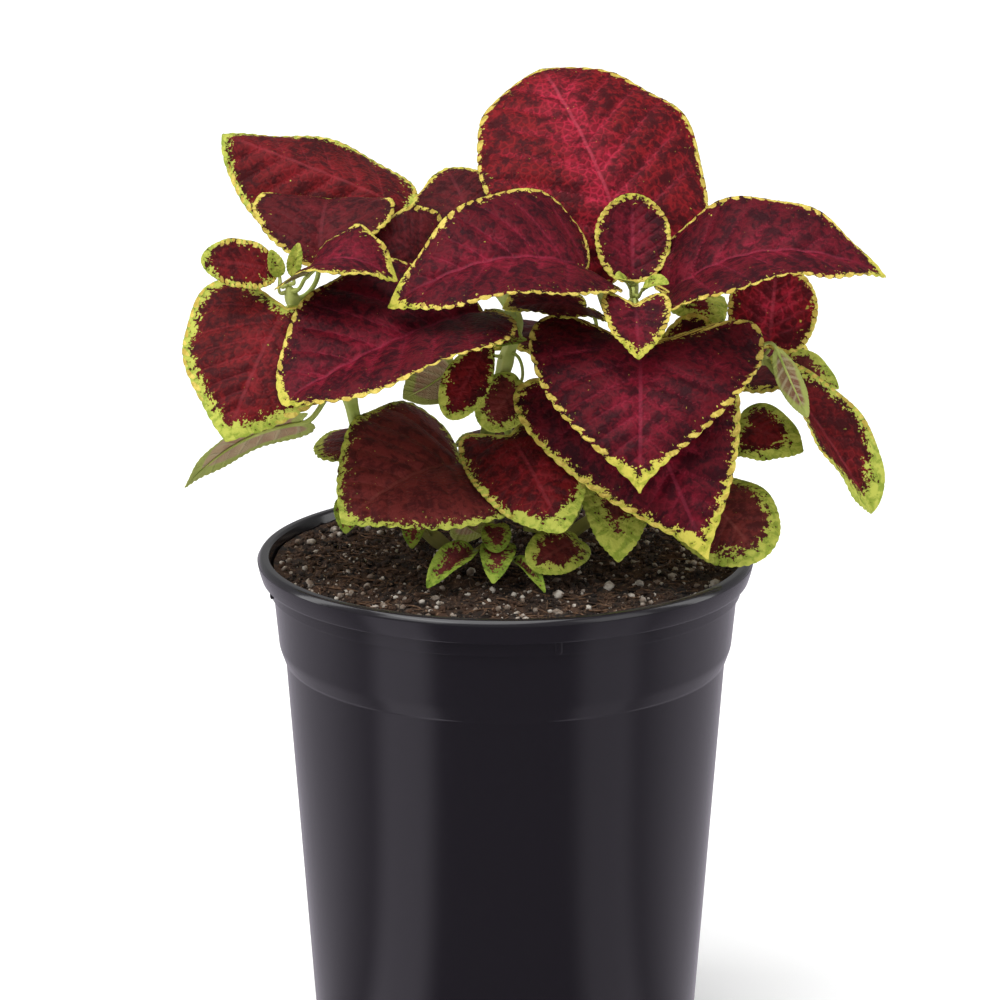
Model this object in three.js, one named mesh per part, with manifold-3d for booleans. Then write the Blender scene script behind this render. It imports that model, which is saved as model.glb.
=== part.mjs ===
// A coleus plant in its round nursery pot: thin-walled plastic pot, potting soil, five square
// stems and the leaves that grow on them in crossed pairs. Millimetres, +Z up. The origin is
// the centre of the pot's flat base, and the front of the plant faces -Y.
import * as THREE from "three";
import { mergeVertices } from "three/addons/utils/BufferGeometryUtils.js";
import Module from "manifold-3d";

const wasm = await Module();
wasm.setup();

// Pot: a rolled rim, a skirt under it, an upper band, a short shoulder and a tapered body.
const POT_HEIGHT = 175;
const POT_SIDES = 48;
const WALL = 1.6;
const FLOOR = 2.4;
const RIM = { radius: 82.5, width: 4, height: 8, lean: 1.6, round: 0.8, throat: 6 };
const SKIRT = { radius: 78.8, footRadius: 78.4, foot: 162.4, step: 2 };
const BAND = { radius: 77.3, footRadius: 75.7, foot: 144.6 };
const BODY = { top: 139.9, radius: 73.7, baseRadius: 64.5, chamfer: 1.5 };
const DRAIN = { holes: 6, diameter: 11, circle: 46, sides: 16 };
const RIBS = { count: 4, width: 2.4, depth: 0.8, height: 4.8, foot: 0.3, turn: 0.21 };

// Soil
const SOIL_TOP = 171;
const SOIL_BEVEL = 1.5;
const GAP = 0.3;

// Stems and leaves
const STEM_STEPS = 10;
const STEM_CORNER = 1.1;
const UPRIGHT_FOOT = 3;
const STALK_ROWS = 4;
const STALK_SHARE = 0.02;
const THINNEST_STALK = 0.5;
const THICKEST_STALK = 1.3;
const NODE_CLEARANCE = 0.4;
const STALK_EASE = 0.35;
const BLADE_ROWS = 5;
const BLADE_COLUMNS = 4;
const SMALL_BLADE = 22;
const SMALL_BLADE_ROWS = 3;
const SMALL_BLADE_COLUMNS = 2;
const SMALL_STALK_ROWS = 3;
const BLADE_THICKNESS = 0.9;
const MARGIN_THINNING = 0.55;
const TIP_HALF_WIDTH = 0.35;
const LOBE_SWELL = 0.6;
const LOBE_ROUNDING = 1.3;
const BEHIND_BASE = 3;
const SMALL_STEP = 1e-3;
const ROW_CROWDING = 1.5;

// Leaf outlines: how full the blade is at its base, how sharp it is at its tip, and how far
// its lobes reach back past the top of the stalk.
const HEART = { full: 0.5, sharp: 1.4, lobes: 0.62 };
const BLUNT_HEART = { full: 0.5, sharp: 0.95, lobes: 0.5 };
const SMALL_HEART = { full: 0.5, sharp: 1, lobes: 0.4 };
const BROAD = { full: 0.5, sharp: 0.75, lobes: 0.5 };
const DOME = { full: 0.5, sharp: 0.72, lobes: 0.08 };
const OVATE = { full: 0.55, sharp: 0.95, lobes: 0.25 };
const ROUND = { full: 0.55, sharp: 0.55, lobes: 0.2 };
const OVAL = { full: 0.6, sharp: 0.62, lobes: 0.08 };
const SPOON = { full: 0.85, sharp: 0.6, lobes: 0.02 };
const LANCE = { full: 0.75, sharp: 0.9, lobes: 0.02 };

const blackPlastic = () => new THREE.MeshStandardMaterial({ color: 0x252226, roughness: 0.4, metalness: 0 });
const peat = () => new THREE.MeshStandardMaterial({ color: 0x2c1c14, roughness: 1, metalness: 0 });
const greenStem = () => new THREE.MeshStandardMaterial({ color: 0x9db04a, roughness: 0.55, metalness: 0 });
const crimsonLeaf = () => new THREE.MeshStandardMaterial({ color: 0x74142a, roughness: 0.6, metalness: 0 });
const limeLeaf = () => new THREE.MeshStandardMaterial({ color: 0xa4b23c, roughness: 0.6, metalness: 0 });
const oliveLeaf = () => new THREE.MeshStandardMaterial({ color: 0x8f8a55, roughness: 0.7, metalness: 0 });

// A closed three.js geometry as a manifold solid.
function solid(geometry) {
  const bare = geometry.clone();
  bare.deleteAttribute("normal");
  bare.deleteAttribute("uv");
  const merged = mergeVertices(bare, 1e-4);
  return new wasm.Manifold(
    new wasm.Mesh({
      numProp: 3,
      vertProperties: new Float32Array(merged.attributes.position.array),
      triVerts: new Uint32Array(merged.index.array),
    }),
  );
}

// A manifold solid as a three.js geometry.
function geometryOf(body) {
  const mesh = body.getMesh();
  const geometry = new THREE.BufferGeometry();
  geometry.setAttribute("position", new THREE.BufferAttribute(mesh.vertProperties, 3));
  geometry.setIndex(new THREE.BufferAttribute(mesh.triVerts, 1));
  geometry.computeVertexNormals();
  return geometry;
}

function addMesh(parent, name, geometry, material) {
  const mesh = new THREE.Mesh(geometry, material);
  mesh.name = name;
  parent.add(mesh);
  return mesh;
}

// A LatheGeometry turns about Y, so it is laid over to turn about Z.
function turned(profile, sides) {
  const points = profile.map(([radius, height]) => new THREE.Vector2(radius, height));
  return new THREE.LatheGeometry(points, sides).rotateX(Math.PI / 2);
}

const plant = new THREE.Group();

// ---------------------------------------------------------------- pot
const RIM_FOOT = POT_HEIGHT - RIM.height;
const FLOOR_RADIUS = BODY.baseRadius - WALL + ((BODY.radius - BODY.baseRadius) * FLOOR) / BODY.top;

function potGeometry() {
  const profile = [
    [0, 0],
    [BODY.baseRadius - BODY.chamfer, 0],
    [BODY.baseRadius, BODY.chamfer],
    [BODY.radius, BODY.top],
    [BAND.footRadius, BAND.foot],
    [BAND.radius, SKIRT.foot],
    [SKIRT.footRadius, SKIRT.foot],
    [SKIRT.radius, RIM_FOOT],
    [RIM.radius - RIM.lean, RIM_FOOT],
    [RIM.radius, POT_HEIGHT - RIM.round],
    [RIM.radius - RIM.round, POT_HEIGHT],
    [RIM.radius - RIM.width + RIM.round, POT_HEIGHT],
    [RIM.radius - RIM.width, POT_HEIGHT - RIM.round],
    [SKIRT.radius - WALL, POT_HEIGHT - RIM.throat],
    [SKIRT.footRadius - WALL, SKIRT.foot],
    [BAND.radius - WALL, SKIRT.foot - SKIRT.step],
    [BAND.footRadius - WALL, BAND.foot],
    [BODY.radius - WALL, BODY.top],
    [FLOOR_RADIUS, FLOOR],
    [0, FLOOR],
  ];
  let pot = solid(turned(profile, POT_SIDES));
  for (let i = 0; i < RIBS.count; i += 1) {
    const rib = new THREE.BoxGeometry(RIBS.width, 2 * RIBS.depth, RIBS.height);
    rib.translate(0, -SKIRT.footRadius, SKIRT.foot + RIBS.foot + RIBS.height / 2);
    rib.rotateZ(RIBS.turn + (i * 2 * Math.PI) / RIBS.count);
    pot = pot.add(solid(rib));
  }
  for (let i = 0; i < DRAIN.holes; i += 1) {
    const radius = DRAIN.diameter / 2;
    const hole = new THREE.CylinderGeometry(radius, radius, 3 * FLOOR, DRAIN.sides);
    hole.rotateX(Math.PI / 2);
    hole.translate(0, DRAIN.circle, FLOOR / 2);
    hole.rotateZ((i * 2 * Math.PI) / DRAIN.holes);
    pot = pot.subtract(solid(hole));
  }
  return geometryOf(pot);
}

addMesh(plant, "pot", potGeometry(), blackPlastic());

// ---------------------------------------------------------------- soil
// The root ball fills the pot to just under the rim and keeps a hair's gap to the wall.
function soilGeometry() {
  const inset = WALL + 2 * GAP;
  const profile = [
    [0, FLOOR + GAP],
    [FLOOR_RADIUS - 2 * GAP, FLOOR + GAP],
    [BODY.radius - inset, BODY.top],
    [BAND.footRadius - inset, BAND.foot],
    [BAND.radius - inset, SKIRT.foot - SKIRT.step],
    [SKIRT.footRadius - inset, SKIRT.foot],
    [SKIRT.radius - inset, SOIL_TOP - SOIL_BEVEL],
    [SKIRT.radius - inset - SOIL_BEVEL, SOIL_TOP],
    [0, SOIL_TOP],
  ];
  return turned(profile, POT_SIDES);
}

addMesh(plant, "soil", soilGeometry(), peat());

// ---------------------------------------------------------------- stems
// Square stems with blunt edges, as on every plant of the mint family. Each starts upright in
// the soil's surface.
const SQUARE_SECTION = [
  [1, 0.45],
  [0.45, 1],
  [-0.45, 1],
  [-1, 0.45],
  [-1, -0.45],
  [-0.45, -1],
  [0.45, -1],
  [1, -0.45],
];

function tube(curve, section, radius, steps) {
  const outline = new THREE.Shape(section.map(([x, y]) => new THREE.Vector2(x * radius, y * radius)));
  return new THREE.ExtrudeGeometry(outline, { extrudePath: curve, steps, curveSegments: 1 });
}

function makeStem(name, radius, foot, points) {
  const path = [
    new THREE.Vector3(foot[0], foot[1], SOIL_TOP + GAP),
    new THREE.Vector3(foot[0], foot[1], SOIL_TOP + UPRIGHT_FOOT),
    ...points.map((p) => new THREE.Vector3(...p)),
  ];
  const curve = new THREE.CatmullRomCurve3(path);
  const group = new THREE.Group();
  plant.add(group);
  addMesh(group, name, tube(curve, SQUARE_SECTION, radius, STEM_STEPS), greenStem());
  return { curve, radius, group };
}

const mainStem = makeStem("stem_main", 2.1, [12, -3], [
  [22, -6, 190],
  [34, -9, 225],
  [40, -10, 250],
  [41.5, -10, 263],
]);
const middleStem = makeStem("stem_middle", 2, [-5, 1], [
  [-7, -1, 195],
  [-6, -3, 215],
  [0, -5, 240],
  [3, -4, 254],
  [-6, 4, 266],
  [-20, 12, 271],
]);
const leftStem = makeStem("stem_left", 1.9, [-18, -2], [
  [-34, -5, 190],
  [-47, -8, 214],
  [-53, -11, 236],
  [-66, -12.5, 255],
  [-70, -13, 267],
]);
const rightStem = makeStem("stem_right", 1.8, [17, 6], [
  [36, 5, 190],
  [60, 2, 215],
  [74, 1, 230],
  [82, 1, 238],
]);
const sproutStem = makeStem("stem_sprout", 1.2, [-4, -19], [
  [-4, -20, 178],
  [-3, -21, 188],
]);

// ---------------------------------------------------------------- leaves
// A point of a blade's middle surface. along runs 0 at the stalk to 1 at the tip, across runs
// -1 at the left edge to 1 at the right edge, looking at the upper side with the tip away.
// The midrib arches from base to tip. Each half leaves it at its lift and curls on outwards.
function bladePoint(leaf, along, across) {
  const base = new THREE.Vector3(...leaf.base);
  const chord = new THREE.Vector3(...leaf.tip).sub(base);
  const length = chord.length();
  const face = new THREE.Vector3(...leaf.faces);
  face.addScaledVector(chord, -face.dot(chord) / (length * length)).normalize();

  const { full, sharp, lobes } = leaf.outline;
  const widest = full / (full + sharp);
  const peak = widest ** full * (1 - widest) ** sharp;
  const half = ((leaf.width / 2) * along ** full * (1 - along) ** sharp) / peak;
  const reach = (half + TIP_HALF_WIDTH) * (1 + leaf.lean * across * (2 * along - 1));
  const side = Math.abs(across);
  const back = lobes * (1 - along) ** 2 * Math.sin(Math.PI * along ** LOBE_SWELL) * side ** LOBE_ROUNDING;

  const a = along - back;
  const rise = a < 0 ? (4 * a) / (1 - BEHIND_BASE * a) : 4 * a * (1 - a);
  const slope = a < 0 ? 4 / (1 - BEHIND_BASE * a) ** 2 : 4 * (1 - 2 * a);
  const midrib = base.addScaledVector(chord, a).addScaledVector(face, leaf.arch * rise);
  const forward = chord.clone().addScaledVector(face, leaf.arch * slope).normalize();
  const right = new THREE.Vector3().crossVectors(forward, face).normalize();
  const up = new THREE.Vector3().crossVectors(right, forward);

  const lift = THREE.MathUtils.degToRad(across > 0 ? leaf.liftRight : leaf.liftLeft);
  const curl = THREE.MathUtils.degToRad(leaf.curl) + 1e-6;
  const out = (reach * (Math.sin(lift + curl * side) - Math.sin(lift))) / curl;
  const raise = (reach * (Math.cos(lift) - Math.cos(lift + curl * side))) / curl;
  return midrib.addScaledVector(right, Math.sign(across) * out).addScaledVector(up, raise);
}

// The stalk's middle line leaves the stem square to it and ends in line with the midrib.
function stalkCurve(leaf) {
  const node = leaf.stem.curve.getPointAt(leaf.place);
  const axis = leaf.stem.curve.getTangentAt(leaf.place);
  const base = new THREE.Vector3(...leaf.base);
  const run = bladePoint(leaf, SMALL_STEP, 0).sub(base).normalize();
  const out = base.clone().sub(node);
  out.addScaledVector(axis, -out.dot(axis)).normalize();
  const start = node.clone().addScaledVector(out, leaf.stem.radius * STEM_CORNER + NODE_CLEARANCE);
  const ease = start.distanceTo(base) * STALK_EASE;
  return new THREE.CubicBezierCurve3(
    start,
    start.clone().addScaledVector(out, ease),
    base.clone().addScaledVector(run, -ease),
    base,
  );
}

// One corner of the stalk, which is as thick as it is wide. It turns to lie flat with the blade.
function stalkPoint(leaf, curve, share, across, side) {
  const forward = curve.getTangent(share);
  const right = bladePoint(leaf, 0, 1).sub(bladePoint(leaf, 0, -1));
  right.addScaledVector(forward, -right.dot(forward)).normalize();
  const up = new THREE.Vector3().crossVectors(right, forward);
  const point = curve.getPoint(share);
  return point.addScaledVector(right, across * leaf.stalkRadius).addScaledVector(up, side * 2 * leaf.stalkRadius);
}

// One corner of the blade, which thins towards its margin.
function bladeCorner(leaf, along, across, side) {
  const left = bladePoint(leaf, along, Math.max(across - SMALL_STEP, -1));
  const right = bladePoint(leaf, along, Math.min(across + SMALL_STEP, 1));
  const before = bladePoint(leaf, Math.max(along - SMALL_STEP, 0), across);
  const after = bladePoint(leaf, Math.min(along + SMALL_STEP, 1), across);
  const normal = right.sub(left).cross(after.sub(before)).normalize();
  const thickness = BLADE_THICKNESS * (1 - MARGIN_THINNING * Math.abs(across));
  return bladePoint(leaf, along, across).addScaledVector(normal, side * thickness);
}

// A leaf is one long flat box: its first rows are bent round the stalk's line and the rest onto
// the blade's surface.
function leafGeometry(leaf) {
  const small = leaf.width < SMALL_BLADE;
  const columns = small ? SMALL_BLADE_COLUMNS : BLADE_COLUMNS;
  const stalkRows = small ? SMALL_STALK_ROWS : STALK_ROWS;
  const bladeRows = small ? SMALL_BLADE_ROWS : BLADE_ROWS;
  const rows = stalkRows + bladeRows;
  const box = new THREE.BoxGeometry(2, 1, 1, columns, rows, 1);
  const position = box.attributes.position;
  const curve = stalkCurve(leaf);
  for (let i = 0; i < position.count; i += 1) {
    const row = Math.round((position.getY(i) + 0.5) * rows);
    const across = position.getX(i);
    const side = position.getZ(i);
    const point =
      row <= stalkRows
        ? stalkPoint(leaf, curve, row / stalkRows, across, side)
        : bladeCorner(leaf, ((row - stalkRows) / bladeRows) ** ROW_CROWDING, across, side);
    position.setXYZ(i, point.x, point.y, point.z);
  }
  return box;
}

function addLeaf(stem, name, shape, material = crimsonLeaf()) {
  const leaf = { stem, arch: 4, liftRight: 0, liftLeft: 0, lean: 0, curl: -10, outline: OVATE, ...shape };
  const length = new THREE.Vector3(...leaf.tip).distanceTo(new THREE.Vector3(...leaf.base));
  leaf.stalkRadius = THREE.MathUtils.clamp(length * STALK_SHARE, THINNEST_STALK, THICKEST_STALK);
  return addMesh(stem.group, name, leafGeometry(leaf), material);
}

// Main stem, from its tip down.
addLeaf(mainStem, "main_leaf_young_back", {
  place: 0.98, base: [41.5, -1, 265.3], tip: [41.5, 14, 292.3], width: 25, faces: [0, -1, 0.35],
  arch: -1, liftRight: 14, liftLeft: 14, curl: 0, outline: OVAL,
});
addLeaf(mainStem, "main_leaf_young_front", {
  place: 0.98, base: [41, -29.5, 264.1], tip: [41.5, -46.5, 249.6], width: 22, faces: [0, -0.7, 1],
  arch: 1, liftRight: 20, liftLeft: 16, curl: -8, outline: SMALL_HEART,
});
addLeaf(mainStem, "main_leaf_left", {
  place: 0.9, base: [27, -12, 272], tip: [-37, -36, 264], width: 54, faces: [0, -0.55, 0.84],
  arch: 12, liftRight: 16, liftLeft: 22, lean: -0.25, curl: -14,
});
addLeaf(mainStem, "main_leaf_right", {
  place: 0.9, base: [51, -8, 262.5], tip: [121.5, -18, 270.5], width: 52, faces: [0, -0.5, 0.87],
  arch: 15, liftRight: 24, liftLeft: 14, curl: -14,
});
addLeaf(mainStem, "main_leaf_back", {
  place: 0.8, base: [42, 11, 268.6], tip: [12, 62, 327.5], width: 75, faces: [0.1, -0.8, 0.6],
  arch: 10, curl: -15, outline: ROUND,
});
addLeaf(mainStem, "main_leaf_front", {
  place: 0.8, base: [42.7, -28, 250.5], tip: [41.5, -64, 211], width: 75, faces: [0, -0.75, 0.7],
  arch: 5, liftRight: 8, liftLeft: 2, lean: 0.16, curl: -17, outline: HEART,
});
addLeaf(mainStem, "main_leaf_low_left", {
  place: 0.72, base: [26.5, -4, 258], tip: [-1, -17.5, 260], width: 31, faces: [0, -0.4, 0.9],
  arch: 2, liftLeft: 19,
});
addLeaf(mainStem, "main_leaf_low_right", {
  place: 0.72, base: [57.5, 2, 253.5], tip: [72.3, 12, 258], width: 22.5, faces: [0, -0.6, 0.8],
  arch: 3,
});
addLeaf(mainStem, "main_leaf_low_front", {
  place: 0.6, base: [40, -24.5, 237.5], tip: [63.5, -58, 187.5], width: 70, faces: [-0.1, -0.8, 0.6],
  liftLeft: 4, lean: -0.12, curl: -14, outline: HEART,
});
addLeaf(mainStem, "main_leaf_low_back", {
  place: 0.6, base: [38.5, 8, 239.6], tip: [34, 64, 221.5], width: 58, faces: [0, 0.5, 0.9],
  arch: 6, curl: -14, outline: SMALL_HEART,
});
addLeaf(mainStem, "main_leaf_foot_front", {
  place: 0.32, base: [36, -18, 203], tip: [36, -42, 182.5], width: 24, faces: [0, -0.9, 0.5],
  arch: 1, liftRight: 20, liftLeft: 20, curl: 0,
});
addLeaf(mainStem, "main_leaf_foot_back", {
  place: 0.3, base: [26, 4, 198], tip: [32, 44, 186], width: 30, faces: [0, 0.5, 0.85],
});
addLeaf(mainStem, "main_leaf_foot_left", {
  place: 0.14, base: [24, -24, 185], tip: [8, -42, 180.5], width: 17, faces: [0, -0.75, 0.65],
  arch: 2, curl: -6, outline: ROUND,
});
addLeaf(mainStem, "main_leaf_foot_turned", {
  place: 0.2, base: [21, -12, 194.5], tip: [6, -22, 187.5], width: 13, faces: [0, 0.6, -0.7],
  arch: 1,
}, oliveLeaf());
addLeaf(mainStem, "main_bud_left", {
  place: 1, base: [40.3, -14, 266.5], tip: [35, -21, 270.5], width: 6.5, faces: [0, -0.5, 0.9],
  arch: 1, liftRight: 20, liftLeft: 20, curl: 0, outline: LANCE,
}, limeLeaf());
addLeaf(mainStem, "main_bud_right", {
  place: 1, base: [43.8, -14.5, 266], tip: [52, -20, 268.5], width: 7, faces: [0, -0.5, 0.9],
  arch: 1, liftRight: 20, liftLeft: 20, curl: 0, outline: LANCE,
}, limeLeaf());

// Middle stem.
addLeaf(middleStem, "middle_leaf_top_left", {
  place: 0.99, base: [-31.3, 24, 285.5], tip: [-95, 42, 308], width: 54, faces: [0, -0.93, 0.35],
  liftRight: -54, curl: -3, outline: DOME,
});
addLeaf(middleStem, "middle_leaf_top_back", {
  place: 0.89, base: [-10.5, 38, 276.5], tip: [-20.7, 66, 293], width: 36, faces: [0, -0.8, 0.6],
});
addLeaf(middleStem, "middle_leaf_top_inner", {
  place: 0.97, base: [-26.5, 6.5, 270.5], tip: [-45, 8.5, 281.5], width: 36, faces: [0, -0.7, 0.7],
});
addLeaf(middleStem, "middle_leaf_top_right", {
  place: 0.84, base: [0, 14, 260.5], tip: [24, 37, 254], width: 28, faces: [0, -0.1, 1],
  arch: 5, curl: -12,
});
addLeaf(middleStem, "middle_leaf_left", {
  place: 0.72, base: [-7, -19, 260], tip: [-69.5, -56, 237.5], width: 68, faces: [0, -0.55, 0.83],
  arch: 5, liftRight: 10, liftLeft: 34, curl: -14, outline: DOME,
});
addLeaf(middleStem, "middle_leaf_small", {
  place: 0.68, base: [5, -9.5, 249.5], tip: [-3.2, -16, 247.5], width: 6, faces: [0, -0.8, 0.6],
  arch: 1, liftRight: 20, liftLeft: 20, curl: 0,
}, limeLeaf());
addLeaf(middleStem, "middle_leaf_hanging", {
  place: 0.67, base: [-5, -12, 249], tip: [-18, -28, 226], width: 15, faces: [-0.3, -0.9, 0.3],
  arch: 2, liftRight: 10, liftLeft: -10, outline: SPOON,
});
addLeaf(middleStem, "middle_leaf_back", {
  place: 0.66, base: [0, 12, 242], tip: [-4, 66, 236], width: 46, faces: [0, 0.3, 0.95],
  arch: 6, curl: -14,
});
addLeaf(middleStem, "middle_leaf_round", {
  place: 0.62, base: [5, -10, 234.5], tip: [-7, -22, 221.5], width: 17, faces: [0, -0.9, 0.4],
  arch: 2, liftRight: 6, liftLeft: 6, outline: ROUND,
});
addLeaf(middleStem, "middle_leaf_turned", {
  place: 0.6, base: [-16, -12, 240], tip: [-33, -20, 231], width: 20, faces: [0, 0.6, -0.7],
  arch: 2,
}, oliveLeaf());
addLeaf(middleStem, "middle_leaf_low_right", {
  place: 0.45, base: [1, -14, 218], tip: [18, -50, 194.5], width: 37, faces: [0, -0.8, 0.6],
  curl: -14, outline: BROAD,
});
addLeaf(middleStem, "middle_leaf_low_back", {
  place: 0.4, base: [4, 10, 212], tip: [16, 64, 194], width: 48, faces: [0, 0.5, 0.85],
  arch: 6, curl: -14, outline: SMALL_HEART,
});
addLeaf(middleStem, "middle_leaf_low_left", {
  place: 0.36, base: [-13.5, -10, 207.5], tip: [-52, -46, 196.5], width: 64, faces: [-0.1, -0.7, 0.7],
  arch: 7, liftRight: 8, liftLeft: 12, curl: -14, outline: BLUNT_HEART,
});
addLeaf(middleStem, "middle_leaf_foot", {
  place: 0.22, base: [-15, -13, 188], tip: [-7.5, -26, 187], width: 11, faces: [0.3, 0.5, -0.8],
  arch: 1, liftRight: 10, liftLeft: 10, curl: 0,
}, limeLeaf());

// Left stem.
addLeaf(leftStem, "left_bud_outer", {
  place: 1, base: [-72.4, -15, 270], tip: [-75, -17, 279], width: 5, faces: [0, -0.9, 0.5],
  arch: 1, liftRight: 20, liftLeft: 20, curl: 0, outline: LANCE,
}, limeLeaf());
addLeaf(leftStem, "left_bud_inner", {
  place: 1, base: [-68.2, -15, 270], tip: [-66, -16, 281], width: 4.6, faces: [0, -0.9, 0.5],
  arch: 1, liftRight: 20, liftLeft: 20, curl: 0, outline: LANCE,
}, limeLeaf());
addLeaf(leftStem, "left_leaf_back", {
  place: 0.95, base: [-60.5, -8, 270.5], tip: [-58.5, 24, 289], width: 46, faces: [0, -0.4, 0.9],
  arch: 7, liftRight: 12, liftLeft: 12, curl: -12, outline: SPOON,
});
addLeaf(leftStem, "left_leaf_outer", {
  place: 0.98, base: [-73.3, -13.2, 271.8], tip: [-97, -20, 276.3], width: 17, faces: [0, -0.8, 0.6],
  arch: 1, liftRight: 5, liftLeft: 5, curl: -6, outline: OVAL,
});
addLeaf(leftStem, "left_leaf_inner", {
  place: 0.98, base: [-64, -18.5, 271.5], tip: [-34, -31, 271.5], width: 36, faces: [0, -0.5, 0.87],
  arch: 8, liftRight: 30, liftLeft: 6, curl: -16,
});
addLeaf(leftStem, "left_leaf_front", {
  place: 0.88, base: [-70, -18, 261], tip: [-88, -46, 223], width: 60, faces: [-0.2, -0.9, 0.4],
  curl: -14, outline: SMALL_HEART,
});
addLeaf(leftStem, "left_leaf_narrow", {
  place: 0.66, base: [-66, -14, 222.5], tip: [-104, -22, 202], width: 25, faces: [-0.4, 0.55, 0.7],
  arch: 5, liftRight: 3,
});
addLeaf(leftStem, "left_leaf_low_right", {
  place: 0.62, base: [-56, 0, 236], tip: [-50, 56, 240], width: 50, faces: [0, 0.2, 0.95],
  arch: 6, curl: -14,
});
addLeaf(leftStem, "left_leaf_low_back", {
  place: 0.4, base: [-40, 4, 208], tip: [-44, 58, 200], width: 47, faces: [0, 0.5, 0.85],
  arch: 5, curl: -14, outline: SMALL_HEART,
});
addLeaf(leftStem, "left_leaf_foot_outer", {
  place: 0.3, base: [-51, -12, 195], tip: [-52, -22, 186.5], width: 9, faces: [0, -0.8, 0.6],
  arch: 1, liftRight: 5, liftLeft: 5, curl: 0,
});
addLeaf(leftStem, "left_leaf_foot_inner", {
  place: 0.12, base: [-30, -14, 189], tip: [-30.5, -22, 181.5], width: 7, faces: [0, -0.8, 0.6],
  arch: 1, liftRight: 5, liftLeft: 5, curl: 0,
});

// Right stem.
addLeaf(rightStem, "right_leaf_upright", {
  place: 0.98, base: [86.5, 2, 243], tip: [89.5, 12, 270], width: 29, faces: [0, -1, 0.2],
  arch: -1, liftRight: 8, liftLeft: 8, outline: ROUND,
});
addLeaf(rightStem, "right_leaf_narrow", {
  place: 0.98, base: [86, 8, 237], tip: [110, 4, 229], width: 16, faces: [0, -0.5, 0.85],
  arch: 2, liftRight: 14, liftLeft: 14, curl: 0, outline: LANCE,
});
addLeaf(rightStem, "right_leaf_hanging", {
  place: 0.97, base: [86, -4, 241], tip: [120, -16, 192], width: 30, faces: [0.3, -0.9, 0.3],
  arch: 3, liftRight: 60, outline: SPOON,
});
addLeaf(rightStem, "right_leaf_turned", {
  place: 0.93, base: [86.8, -20.3, 247.4], tip: [96.5, -29, 227], width: 8, faces: [0, 0.9, -0.2],
  arch: 2, liftRight: 20, liftLeft: 20, curl: 0, outline: LANCE,
}, oliveLeaf());
addLeaf(rightStem, "right_leaf_back", {
  place: 0.8, base: [75, 14, 228], tip: [94, 62, 232], width: 46, faces: [0, 0.3, 0.95],
  arch: 6, curl: -14,
});
addLeaf(rightStem, "right_leaf_front", {
  place: 0.8, base: [76, -6, 219], tip: [97, -14, 212], width: 24, faces: [0, -0.6, 0.8],
  arch: 2, curl: -8,
});
addLeaf(rightStem, "right_leaf_low_front", {
  place: 0.55, base: [62, -8, 198.5], tip: [82, -36, 181.5], width: 34, faces: [0, -0.7, 0.7],
  arch: 3, curl: -12, outline: ROUND,
});
addLeaf(rightStem, "right_leaf_low_back", {
  place: 0.5, base: [54, 12, 206], tip: [68, 60, 198], width: 44, faces: [0, 0.5, 0.85],
  arch: 5, curl: -14, outline: SMALL_HEART,
});

// Young shoot that comes up in front.
addLeaf(sproutStem, "sprout_leaf_top", {
  place: 0.97, base: [-3, -23, 190], tip: [-3, -36, 184], width: 9, faces: [0, -0.7, 0.7],
  arch: 1, liftRight: 5, liftLeft: 5, curl: 0, outline: ROUND,
}, limeLeaf());
addLeaf(sproutStem, "sprout_leaf_front", {
  place: 0.8, base: [-2, -27, 184], tip: [-4, -44, 176], width: 11, faces: [0, -0.7, 0.7],
  arch: 2, liftRight: 10, liftLeft: 10, curl: 0,
}, limeLeaf());
addLeaf(sproutStem, "sprout_leaf_left", {
  place: 0.8, base: [-10, -28, 183], tip: [-25, -45, 174.8], width: 11, faces: [0, -0.6, 0.8],
  arch: 3, liftRight: 30, liftLeft: 30, curl: 0, outline: LANCE,
}, limeLeaf());
addLeaf(sproutStem, "sprout_leaf_right", {
  place: 0.6, base: [2, -29, 180], tip: [12.5, -46, 173.5], width: 6, faces: [0, -0.4, 0.9],
  arch: 2, liftRight: 40, liftLeft: 40, curl: 0, outline: LANCE,
}, limeLeaf());

export default plant;
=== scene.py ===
"""A coleus in its round nursery pot: black plastic pot, peat and perlite, five square stems and
fifty-three crimson leaves with lime margins. Metres, +Z up, the front of the plant faces -Y."""
import math

import bpy
import numpy as np
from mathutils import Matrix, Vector


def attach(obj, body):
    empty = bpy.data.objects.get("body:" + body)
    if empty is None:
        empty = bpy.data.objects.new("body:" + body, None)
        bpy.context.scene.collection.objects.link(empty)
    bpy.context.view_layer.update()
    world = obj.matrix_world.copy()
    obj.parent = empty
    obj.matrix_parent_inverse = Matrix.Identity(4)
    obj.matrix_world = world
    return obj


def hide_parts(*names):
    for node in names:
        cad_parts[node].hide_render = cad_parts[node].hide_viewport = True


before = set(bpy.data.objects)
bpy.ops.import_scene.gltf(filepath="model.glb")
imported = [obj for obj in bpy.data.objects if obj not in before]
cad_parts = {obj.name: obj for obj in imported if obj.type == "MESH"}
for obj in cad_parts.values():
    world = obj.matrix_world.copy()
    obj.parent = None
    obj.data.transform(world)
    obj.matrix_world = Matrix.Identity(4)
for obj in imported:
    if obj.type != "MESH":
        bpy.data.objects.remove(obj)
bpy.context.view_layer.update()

# ---------------------------------------------------------------- pot
# A nursery pot of black polypropylene, injection moulded in one piece. It has a rolled rim over a
# skirt, an upper band, a short shoulder, a tapered wall and a flat base with six drain holes.
MM = 0.001
POT_HEIGHT = 175
POT_COLUMNS = 192
WALL = 1.6
FLOOR = 2.4
RIM_RADIUS = 82.5
RIM_FOOT = 167
SKIRT = (78.8, 78.4, 162.4)
BAND_RADIUS = 77.3
BAND_FOOT = (75.7, 144.6)
BODY_TOP = (73.7, 139.9)
BASE_RADIUS = 64.5
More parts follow.
